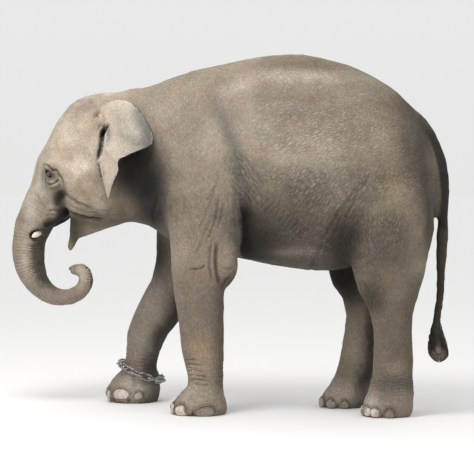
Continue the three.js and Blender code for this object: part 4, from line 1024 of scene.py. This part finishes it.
# Ears: cream down the front ridge, greyer towards the turned back rim, with a painted highlight along the
# free edge.
EAR_TONES = dict(front="pale", rear="cool_grey", ridge="dust", gutter="brown", edge="bone", behind="slate")
ear_tones = {part: np.array(HIDE_TONES[name], float) for part, name in EAR_TONES.items()}
for side in (LEFT, RIGHT):
    sheet = ear_trees[side]
    columns = EAR["columns"] + 1
    spots = np.flatnonzero((y * side > 0.15) & (x > -0.83) & (x < -0.42) & (z > 1.30) & (z < 1.97))
    for k in spots:
        _, _, face_at, gap = sheet.find_nearest(Vector(place[k]), 0.02)
        if gap is None or gap > 0.011:
            continue
        u, v = divmod(face_at // 2, columns - 1)
        u, v = u / EAR["rungs"], v / EAR["columns"]
        rear = step(0.16, 0.28, u) * step(0.52, 0.42, u) * step(0.66, 0.95, v)
        behind = step(0, -0.4, facing[k, 1] * side)
        shade = ear_tones["front"] * (1 - rear) + ear_tones["rear"] * rear
        ridge = math.exp(-(((v - 0.21) / 0.06) ** 2)) * step(0.2, 0.4, u)
        shade += (ear_tones["ridge"] - shade) * 0.6 * ridge
        gutter = step(0.17, 0.10, v) * step(0.22, 0.36, u) * step(0.85, 0.7, u)
        shade += (ear_tones["gutter"] - shade) * 0.85 * gutter
        # Painted highlight along the free edge.
        edge = step(0.95, 0.985, v)
        shade += (ear_tones["edge"] - shade) * edge * (0.3 * step(0.2, 0.3, u) + 0.55 * step(0.42, 0.5, u))
        # Painted shade on the side that faces the head.
        shade += (ear_tones["behind"] - shade) * 0.75 * behind
        tone[k] = shade
patch(-0.728, 1.735, 0.015, 0.055, "cool_grey", 0.85)  # grey strip ahead of the ear's ridge
patch(-0.66, 1.865, 0.055, 0.045, "pale", 0.5)  # ear's top, tan
patch(-0.60, 1.70, 0.075, 0.03, "cool_grey", 0.5, -0.35)  # shallow fold across the ear
patch(-0.665, 1.745, 0.01, 0.08, "pink", 0.6, -0.15)  # fold behind the ridge
# Painted shade in a line down from the slit, where the ear's front edge lies against the cheek.
gap, along = near_line(spline(SLIT_BELOW, 24))
slit = bell(gap / (0.010 - 0.005 * step(0.45, 0.6, along))) * (np.abs(y) > 0.14)
paint(slit * step(0, 0.12, along) * step(1, 0.9, along) * (0.97 - 0.45 * step(0.5, 0.65, along)), "deep_shade")
carry(hide.data, "crease", np.clip(crease, 0, 1.3))
linear = np.clip(tone / 255, 0, 1) ** 2.2
colours = hide.data.color_attributes.new("tone", "FLOAT_COLOR", "POINT")
colours.data.foreach_set("color", np.column_stack([linear, np.ones(len(linear))]).ravel())
hide.data.color_attributes.active_color = colours

# Which way the finest wrinkles lie: rising or falling to the rear, upright, or nearly level.
body = step(-0.55, -0.42, x) * step(0.7, 0.95, z)
rises = body * step(0.10, 0.26, x) * (1 - 0.75 * step(0.82, 0.95, x) * step(1.45, 1.25, z))
falls = body * np.exp(-(((x - 0.14 + 0.45 * (z - 1.5)) / 0.16) ** 2) - ((z - 1.42) / 0.33) ** 2)
stands = step(-0.62, -0.45, x) * step(0.28, 0.02, x) * step(0.75, 0.95, z) * (1 - falls) * 0.45
stands += 1.2 * step(0.72, 0.85, x) * step(1.2, 1.05, x) * step(1.35, 1.15, z) * step(0.55, 0.8, z)
stands = stands * step(0.9, 1.05, z) + 0.42 * step(1.0, 0.85, z) * (x > -0.9)
stands += 0.4 * blob(x, z, (0.92, 0.85), (0.12, 0.22))
rises = rises * (1 - 0.6 * falls)
level = rises * step(1.45, 1.65, z) * (1 - 0.6 * step(1.9, 2.05, z))
rises = rises - level
level = 0.75 * level
calm = 1 - 0.6 * head
lie = np.column_stack([rises * calm, falls * calm, np.clip(stands, 0, 1) * calm, level * calm])
lies = hide.data.color_attributes.new("lie", "FLOAT_COLOR", "POINT")
lies.data.foreach_set("color", np.clip(lie, 0, 1).ravel())
hide.data.color_attributes.active_color = colours


def feed(socket, value):
    """Links an output to a socket, or sets the socket to a plain value."""
    if isinstance(value, bpy.types.NodeSocket):
        links.new(value, socket)
    else:
        socket.default_value = value


def node(kind, *inputs, **values):
    """A new node: its first inputs in turn, and its settings and other inputs by name."""
    made = nodes.new(kind)
    for name, value in values.items():
        if hasattr(made, name):
            setattr(made, name, value)
        else:
            feed(made.inputs[name], value)
    for socket, value in zip(made.inputs, inputs):
        feed(socket, value)
    return made


def dress(name, colour, roughness):
    """A new material, in which the helpers below place their nodes from here on."""
    global nodes, links, shader, spot
    made, nodes, links, shader = material(name, colour, roughness)
    spot = node("ShaderNodeTexCoord").outputs["Object"]
    return made


def mixed(first, second, factor=1.0, blend="MULTIPLY"):
    made = node("ShaderNodeMix", data_type="RGBA", blend_type=blend)
    for socket, value in ((6, first), (7, second), (0, factor)):
        feed(made.inputs[socket], value)
    return made.outputs[2]


def sums(kind, first, second):
    return node("ShaderNodeMath", first, second, operation=kind).outputs[0]


def ramp(value, *stops):
    made = node("ShaderNodeValToRGB", value)
    while len(made.color_ramp.elements) < len(stops):
        made.color_ramp.elements.new(0.5)
    for element, (at, shade) in zip(made.color_ramp.elements, stops):
        element.position = at
        element.color = (shade, shade, shade, 1) if isinstance(shade, (int, float)) else (*shade, 1)
    return made.outputs[0]


def lumps(size, detail=4, rough=0.6, where=None):
    made = node("ShaderNodeTexNoise", Vector=where or spot, Scale=1 / size, Detail=detail, Roughness=rough)
    return made.outputs["Fac"]


def bumped(height, strength, distance, **under):
    """Relief from a height on the shader, over another relief where one is given."""
    made = node("ShaderNodeBump", Strength=strength, Distance=distance, Height=height, **under)
    links.new(made.outputs[0], shader.inputs["Normal"])
    return made.outputs[0]


def net(size, stretch, turn, width, on):
    """A net of wrinkles with meshes this size, drawn out along a slant: 0 in a wrinkle, 1 off it."""
    lie = node("ShaderNodeMapping", on, vector_type="TEXTURE", Rotation=(0, turn, 0), Scale=(stretch, 1.2, 1))
    made = node("ShaderNodeTexVoronoi", lie.outputs[0], feature="DISTANCE_TO_EDGE", Scale=1 / size)
    return ramp(made.outputs["Distance"], (0.0, 0.0), (width, 1.0))


def warped(amount):
    """Places pushed about by this much, so that lines laid on them wander."""
    swirl = node("ShaderNodeTexNoise", spot, Scale=24, Detail=3).outputs["Color"]
    return node("ShaderNodeVectorMath", swirl, (amount,) * 3, spot, operation="MULTIPLY_ADD").outputs[0]


leather = dress("hide_leather", (0.3, 0.26, 0.22), 0.8)
shader.inputs["Specular IOR Level"].default_value = 0.35
painted = node("ShaderNodeAttribute", attribute_name="tone").outputs["Color"]
pressed = node("ShaderNodeAttribute", attribute_name="crease").outputs["Fac"]
way = node("ShaderNodeAttribute", attribute_name="lie")
rising, falling, upright = node("ShaderNodeSeparateColor", way.outputs["Color"]).outputs
PLAIN = (1.0, 1.0, 1.0, 1)
wavy, crooked = warped(0.022), warped(0.035)
close_net = net(0.012, 1, 0, 0.24, crooked)
slants = [
    mixed(PLAIN, net(size, stretch, turn, width, wavy), where, "MIX")
    for size, stretch, turn, width, where in (
        (0.015, 3.2, -0.80, 0.32, rising),
        (0.014, 3.6, -0.42, 0.34, way.outputs["Alpha"]),
        (0.015, 3.4, 1.02, 0.32, falling),
        (0.014, 2.8, 1.57, 0.30, upright),
    )
]
wrinkled = mixed(mixed(slants[0], slants[1]), mixed(slants[2], slants[3]))
faint = ramp(lumps(0.09, 3), (0.35, 0.58), (0.65, 1.0))
wrinkled = mixed(PLAIN, wrinkled, faint, "MIX")
blotch = ramp(lumps(0.25, 5), (0.3, 0.87), (0.7, 1.11))
mottle = ramp(lumps(0.030, 6, 0.75), (0.3, 0.85), (0.7, 1.13))
grain = ramp(lumps(0.013, 4, 0.7), (0.3, 0.84), (0.7, 1.12))
tint = ramp(lumps(0.16, 3), (0.32, (1.04, 0.98, 0.95)), (0.5, 1.0), (0.68, (0.95, 1.0, 0.96)))
colour = mixed(mixed(painted, blotch), mixed(mottle, tint))
# Painted shade: darker down the lines of the fine wrinkles and the close net, and darkest in the modelled
# creases.
colour = mixed(mixed(colour, grain), ramp(wrinkled, (0.0, 0.50), (1.0, 1.03)))
colour = mixed(colour, ramp(close_net, (0.0, 0.80), (1.0, 1.04)))
colour = mixed(colour, ramp(pressed, (0.0, 1.0), (1.0, (0.20, 0.17, 0.155))))
links.new(colour, shader.inputs["Base Color"])
height = sums("ADD", wrinkled, sums("MULTIPLY", lumps(0.014, 3), 0.3))
relief = bumped(height, 1.0, 0.0040)
bumped(sums("ADD", close_net, lumps(0.005, 3)), 0.4, 0.0016, Normal=relief)
links.new(ramp(lumps(0.05, 4), (0.3, 0.74), (0.7, 0.9)), shader.inputs["Roughness"])
hide.data.materials.clear()
hide.data.materials.append(leather)
round_shaded(hide)
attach(hide, "root")
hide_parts(*flesh_nodes, "ear_left", "ear_right")

# ---- Eyes ------------------------------------------------------------------------
# Small wet brown balls, deep in their lids: a turned ball with a slight bulge where it looks out.
def face_out(piece):
    """Turns all the faces of a piece to look outwards."""
    only(piece)
    bpy.ops.object.mode_set(mode="EDIT")
    bpy.ops.mesh.select_all(action="SELECT")
    bpy.ops.mesh.normals_make_consistent(inside=False)
    bpy.ops.object.mode_set(mode="OBJECT")


def turned(name, profile):
    """A solid turned about Z from half its outline, closed at both poles."""
    line = bpy.data.meshes.new(name)
    line.from_pydata([(r, 0, h) for r, h in profile], [(n, n + 1) for n in range(len(profile) - 1)], [])
    piece = added(name, line)
    only(piece)
    bpy.ops.object.mode_set(mode="EDIT")
    bpy.ops.mesh.select_all(action="SELECT")
    bpy.ops.mesh.spin(steps=32, angle=math.tau, center=(0, 0, 0), axis=(0, 0, 1))
    bpy.ops.mesh.select_all(action="SELECT")
    bpy.ops.mesh.remove_doubles(threshold=1e-5)
    bpy.ops.object.mode_set(mode="OBJECT")
    face_out(piece)
    return piece


def frame_of(out):
    """A turn that takes Z to out and keeps Y near upright."""
    out = Vector(out).normalized()
    across = Vector((0, 0, 1)).cross(out).normalized()
    return Matrix((across, out.cross(across), out)).transposed().to_4x4()


BALL = {"radius": 0.0196, "bulge": 0.0016, "reach": 0.009}
wet = dress("wet_eye", (0.02, 0.012, 0.008), 0.06)
iris = ramp(lumps(0.004, 3), (0.3, (0.012, 0.007, 0.005)), (0.75, (0.07, 0.035, 0.018)))
links.new(iris, shader.inputs["Base Color"])
shader.inputs["Coat Weight"].default_value = 1
shader.inputs["Coat Roughness"].default_value = 0.03
for side, name in ((LEFT, "left"), (RIGHT, "right")):
    ball = [(BALL["radius"] * math.sin(t), BALL["radius"] * math.cos(t)) for t in np.linspace(0, math.pi, 25)]
    bulged = [(r, h + BALL["bulge"] * math.exp(-((r / BALL["reach"]) ** 2)) * (h > 0)) for r, h in ball]
    eye = turned("eyeball_" + name, bulged)
    eye.data.transform(Matrix.Translation(eye_at[side]) @ frame_of((-0.35, side, 0.05)))
    eye.data.materials.append(wet)
    round_shaded(eye)
    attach(eye, "root")
    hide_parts("eye_" + name)

# ---- Tushes ----------------------------------------------------------------------
# Short cow's tusks that show just below the upper lip: worn ivory, tapered and a little bent,
# with fine lengthwise cracks, and painted shade on the gum round each.
TUSH = [(-1.196, 0.056, 1.121), (-1.206, 0.068, 1.114), (-1.216, 0.082, 1.107), (-1.227, 0.099, 1.100),
        (-1.237, 0.112, 1.094), (-1.246, 0.119, 1.088), (-1.252, 0.122, 1.084),
        (-1.2545, 0.123, 1.0825)]  # fmt: skip
TUSH_WIDE = [0.0120, 0.0130, 0.0145, 0.0165, 0.0184, 0.0184, 0.0145, 0.0050]
ivory = dress("worn_ivory", (0.7, 0.6, 0.45), 0.38)
stretch = node("ShaderNodeMapping", spot, vector_type="TEXTURE", Rotation=(0, -0.72, 0), Scale=(8, 1, 1))
streaks = lumps(0.004, 4, where=stretch.outputs[0])
cream = ramp(streaks, (0.3, (0.72, 0.60, 0.44)), (0.6, (0.92, 0.84, 0.72)))
links.new(mixed(cream, ramp(lumps(0.015, 3), (0.3, 0.8), (0.7, 1.05))), shader.inputs["Base Color"])
shader.inputs["Subsurface Weight"].default_value = 0.15
shader.inputs["Subsurface Radius"].default_value = (0.01, 0.006, 0.003)
bumped(streaks, 0.3, 0.0005)
for side, name in ((LEFT, "left"), (RIGHT, "right")):
    line = spline([(x, side * y, z) for x, y, z in TUSH], 28)
    wide = np.interp(np.linspace(0, 1, 28), np.linspace(0, 1, len(TUSH_WIDE)), TUSH_WIDE)
    corners, faces = tapered(line, [(w, w * 0.92) for w in wide], 20)
    tush = bpy.data.meshes.new("tush_" + name)
    tush.from_pydata(corners.tolist(), [], faces)
    tush = added("ivory_tush_" + name, tush)
    face_out(tush)
    bpy.ops.object.shade_smooth_by_angle(angle=1.0)
    tush.data.materials.append(ivory)
    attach(tush, "root")
    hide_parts("tush_" + name)

# ---- Nails -----------------------------------------------------------------------
# Horn plates set in the front of each foot, five to a foot: blunt ovals, thick and worn flat
# below, dusty white to brown. One is shaped, and each other is a copy stretched to fit.
NAIL = {"tall": 0.058, "thick": 0.018, "bend": 0.55, "lowest": 0.001}
horn = dress("foot_horn", (0.5, 0.45, 0.4), 0.55)
clean = node("ShaderNodeAttribute", attribute_name="cleanness").outputs["Fac"]
pale = ramp(lumps(0.03, 4), (0.3, (0.42, 0.33, 0.27)), (0.62, (0.70, 0.62, 0.58)))
earthy = ramp(lumps(0.02, 4), (0.3, (0.13, 0.105, 0.08)), (0.65, (0.28, 0.24, 0.19)))
pale = mixed(mixed(earthy, pale, clean, "MIX"), ramp(lumps(0.006, 4), (0.3, 0.7), (0.65, 1.05)))
links.new(pale, shader.inputs["Base Color"])
bumped(lumps(0.007, 4), 0.5, 0.001)
hide_tree = tree_of(hide.data)
bpy.ops.object.select_all(action="DESELECT")
bpy.ops.mesh.primitive_cube_add(size=2)
plate = bpy.context.object
plate.name = "nail_form"
bpy.ops.object.mode_set(mode="EDIT")
bpy.ops.mesh.select_all(action="SELECT")
bpy.ops.mesh.subdivide(number_cuts=5)
bpy.ops.object.mode_set(mode="OBJECT")
form, _ = read(plate.data)
a, b, c = form.T
wide = a * np.sqrt(1 - 0.34 * b**2) * (1 - 0.10 * np.clip(-b, 0, 1))
tall = b * np.sqrt(1 - 0.45 * a**2 * np.where(b < 0, 0.25, 1.2))
domed = c * np.sqrt(np.clip(1 - 0.42 * a**2 - 0.40 * b**2, 0.05, 1))
out = domed - NAIL["bend"] * a**2 - 0.3 * np.clip(b, 0, 1) ** 2
write(plate.data, np.column_stack([wide, tall, out]))
plate.modifiers.new("round", "SUBSURF").levels = 1
plate.modifiers["round"].render_levels = 1
finish_modifiers(plate)
nails = bmesh.new()
cleanness = []
for x0, y0, _, _, side, arc in FEET:
    for bearing, half, level, clean in arc:
        angle = math.radians(bearing)
        way = Vector((-math.cos(angle), side * math.sin(angle), 0))
        hit, normal, _, _ = hide_tree.ray_cast(Vector((x0, y0, level)) + 0.4 * way, -way)
        flat = Vector((normal.x, normal.y, 0.35 * max(0, normal.z))).normalized()
        nail = plate.data.copy()
        size = Matrix.Diagonal((half, min(NAIL["tall"], 1.6 * half, 2 * level) / 2, NAIL["thick"] / 2, 1))
        nail.transform(Matrix.Translation(hit - 0.004 * flat) @ frame_of(flat) @ size)
        nails.from_mesh(nail)
        cleanness += [clean] * len(nail.vertices)
bpy.data.objects.remove(plate)
for corner in nails.verts:
    corner.co.z = max(corner.co.z, NAIL["lowest"])
nails = added("toe_nails", settled("nails", nails))
carry(nails.data, "cleanness", cleanness)
nails.data.materials.append(horn)
round_shaded(nails)
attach(nails, "root")

# ---- Tail hair -------------------------------------------------------------------
# Coarse black bristles along the front and rear edges of the tail's end and round its tip, stuck
# together in tapered locks that lie down the tail.
rng = np.random.default_rng(7)
LOCK_FACES = (0.13, 0.97, 0.2)  # which way a lock shows its broad side
TAIL_LOCKS = 900


def coat(name, locks, roots, look):
    """Joins locks into one piece, with every lock a small patch at its root's place in OFBake."""
    corners, faces, owner, count = [], [], [], 0
    for n, (points, sides) in enumerate(locks):
        corners.append(points)
        faces += [tuple(k + count for k in face) for face in sides]
        owner += [n] * len(sides)
        count += len(points)
    mesh = bpy.data.meshes.new(name)
    mesh.from_pydata(np.vstack(corners).tolist(), [], faces)
    bake = mesh.uv_layers.new(name="OFBake")
    roots = np.array(roots)
    spread = (roots - roots.min(0)) / np.maximum(1e-6, np.ptp(roots, axis=0))
    for face, n in zip(mesh.polygons, owner):
        for k, loop in enumerate(face.loop_indices):
            corner = np.array([(k & 1) ^ (k >> 1 & 1), k >> 1 & 1]) * 0.003
            bake.data[loop].uv = 0.01 + 0.97 * spread[n] + corner
    piece = added(name, mesh)
    piece.data.materials.append(look)
    face_out(piece)
    round_shaded(piece)
    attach(piece, "root")
    return piece


bristle = dress("black_bristle", (0.02, 0.018, 0.016), 0.45)
dark = ramp(lumps(0.02, 3), (0.3, (0.010, 0.009, 0.008)), (0.75, (0.06, 0.05, 0.042)))
tip = node("ShaderNodeVectorMath", spot, (1.306, 0, 0.358), operation="DISTANCE")
dusty = ramp(tip.outputs["Value"], (0.026, 1.0), (0.056, 0.0))
straw = ramp(lumps(0.006, 3), (0.35, (0.05, 0.042, 0.03)), (0.6, (0.34, 0.27, 0.18)))
links.new(mixed(dark, straw, dusty, "MIX"), shader.inputs["Base Color"])
DROP = [(0.62, 0.018), (0.56, 0.026), (0.52, 0.040), (0.475, 0.056), (0.43, 0.066), (0.395, 0.068),
        (0.36, 0.060), (0.335, 0.045), (0.32, 0.028), (0.312, 0.006)]  # fmt: skip
tail_end = np.array(TAIL_END)


def of_tail(level, column):
    """How far back the tail's core lies at a level, or half its depth or width there."""
    return np.interp(-level, -tail_end[:, 1], tail_end[:, column])


def in_drop(level, shell, turn):
    """A place in the drop that the hair makes: a level, how far out, and which way."""
    half = np.interp(-level, [-z for z, _ in DROP], [w for _, w in DROP])
    out = shell * half
    return np.array([of_tail(level, 0) + out * math.cos(turn), 0.30 * out * math.sin(turn), level])


locks, roots = [], []
for _ in range(TAIL_LOCKS):
    start = rng.uniform(0.345, 0.615)
    edge = 0 if rng.random() < 0.5 else math.pi
    turn = rng.uniform(0, math.tau) if start < 0.362 or start > 0.52 else edge + rng.normal(0, 0.42)
    shell = rng.uniform(0.15, 1) if start < 0.362 else rng.uniform(0.45, 1)
    long = rng.uniform(0.07, 0.15)
    end = max(0.311 + 0.012 * rng.random(), start - long)
    core = np.array([of_tail(start, 0), 0, start])
    core += 0.8 * of_tail(start, 2) * np.array([math.cos(turn), 0.6 * math.sin(turn), 0])
    t = np.linspace(0, 1, 7)
    tucked = shell * (1 - 0.25 * t * (end > 0.33))
    line = np.array([in_drop(start + (end - start) * k, out, turn) for k, out in zip(t, tucked)])
    blend = step(0, 0.4, t)[:, None]
    line = core * (1 - blend) * [1, 1, 0] + line * blend * [1, 1, 0] + line * [0, 0, 1]
    line += np.cumsum(rng.normal(0, 0.0009, (7, 3)), axis=0) * [1, 1, 0]
    wide = rng.uniform(0.0016, 0.0032) * np.clip(1 - t**2.2, 0.10, 1)
    locks.append(tapered(line, [(w, 0.7 * w) for w in wide], 4, out=LOCK_FACES))
    roots.append((start, (turn % math.tau) / math.tau))
tuft = coat("tail_hair", locks, roots, bristle)
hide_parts("tail_tuft")

# ---- Sparse bristles -------------------------------------------------------------
# Single stiff hairs that stand on her crown, back, chin and trunk.
reread()
hairy = 1.0 * step(-0.5, -0.75, x) * step(1.80, 1.9, z) * step(0.1, 0.6, facing[:, 2])
hairy += 0.30 * step(0.3, 0.8, facing[:, 2]) * step(1.9, 2.05, z)
hairy += 0.5 * step(-1.1, -1.03, x) * step(-0.85, -0.95, x) * step(1.2, 1.1, z) * step(1.0, 1.05, z)
hairy += 0.10 * (x < -1.1) + 0.02 * step(0.4, 0.6, z)
spots = np.flatnonzero(rng.random(len(x)) < 0.035 * hairy)
t = np.linspace(0, 1, 3)[:, None]
widths = [(w, w * 0.6) for w in 0.00055 * np.clip(1 - t[:, 0] ** 1.6, 0.08, 1)]
droop = np.array([0, 0, -0.25])
locks, roots = [], []
for n in spots:
    long = rng.uniform(0.012, 0.03) * (1.3 if z[n] > 1.85 else 0.8)
    way = facing[n] + rng.normal(0, 0.25, 3) + [0.25, 0, 0.0]
    way /= np.linalg.norm(way)
    line = place[n] - 0.003 * way + way * long * t + droop * long * t**2
    locks.append(tapered(line, widths, 3, out=LOCK_FACES))
    roots.append((x[n], z[n]))
coat("body_bristles", locks, roots, bristle)

# ---- Ankle chain -----------------------------------------------------------------
# Plain welded steel: sixteen oval links in a sloping loop, each turned a quarter from the next,
# worn bright in some patches and brown in others.
CHAIN = {"links": 16, "wire": 0.0063, "long": 0.093, "wide": 0.050, "at": (-0.628, 0.265, 0.196)}
LOOP = {"x": 0.137, "y": 0.138, "slope": -0.40, "twist": (0.30, 0.30 - math.pi / 2)}
steel = dress("worn_steel", (0.4, 0.38, 0.35), 0.4)
shader.inputs["Metallic"].default_value = 0.85
worn = ramp(lumps(0.012, 5), (0.35, (0.16, 0.14, 0.125)), (0.6, (0.50, 0.49, 0.48)))
links.new(mixed(worn, ramp(lumps(0.003, 3), (0.3, 0.7), (0.7, 1.1))), shader.inputs["Base Color"])
links.new(ramp(lumps(0.01, 4), (0.3, 0.30), (0.7, 0.62)), shader.inputs["Roughness"])
bumped(lumps(0.0035, 4), 0.25, 0.0005)
straight = (CHAIN["long"] - CHAIN["wide"]) / 2
turn_of_end = CHAIN["wide"] / 2 - CHAIN["wire"]
bpy.ops.object.select_all(action="DESELECT")
bpy.ops.mesh.primitive_torus_add(
    major_segments=36, minor_segments=12, major_radius=turn_of_end, minor_radius=CHAIN["wire"]
)
oval = bpy.context.object
form, _ = read(oval.data)
form[:, 0] += straight * np.tanh(form[:, 0] / 0.004)
weld = bell(form[:, 0] / 0.005) * (form[:, 1] > 0)
ring = np.array([0, turn_of_end, 0])
form += 0.14 * weld[:, None] * (form - ring) * [0, 1, 1]
write(oval.data, form)


def on_loop(n):
    angle = math.tau * n / CHAIN["links"]
    across = LOOP["x"] * math.cos(angle)
    x0, y0, z0 = CHAIN["at"]
    return Vector((x0 + across, y0 + LOOP["y"] * math.sin(angle), z0 + LOOP["slope"] * across))


for n in range(CHAIN["links"]):
    at = on_loop(n)
    along = (on_loop(n + 0.5) - on_loop(n - 0.5)).normalized()
    up = Vector((at.x - CHAIN["at"][0], at.y - CHAIN["at"][1], 0)).cross(along).normalized()
    twist = LOOP["twist"][n % 2]
    wide = up.cross(along) * math.cos(twist) + up * math.sin(twist)
    link = oval.data.copy()
    link.transform(Matrix.Translation(at) @ Matrix((along, wide, along.cross(wide))).transposed().to_4x4())
    link = added("steel_link_%02d" % (n + 1), link)
    link.data.materials.append(steel)
    round_shaded(link)
    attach(link, "root")
    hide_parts("chain_link_%02d" % (n + 1))
bpy.data.objects.remove(oval)
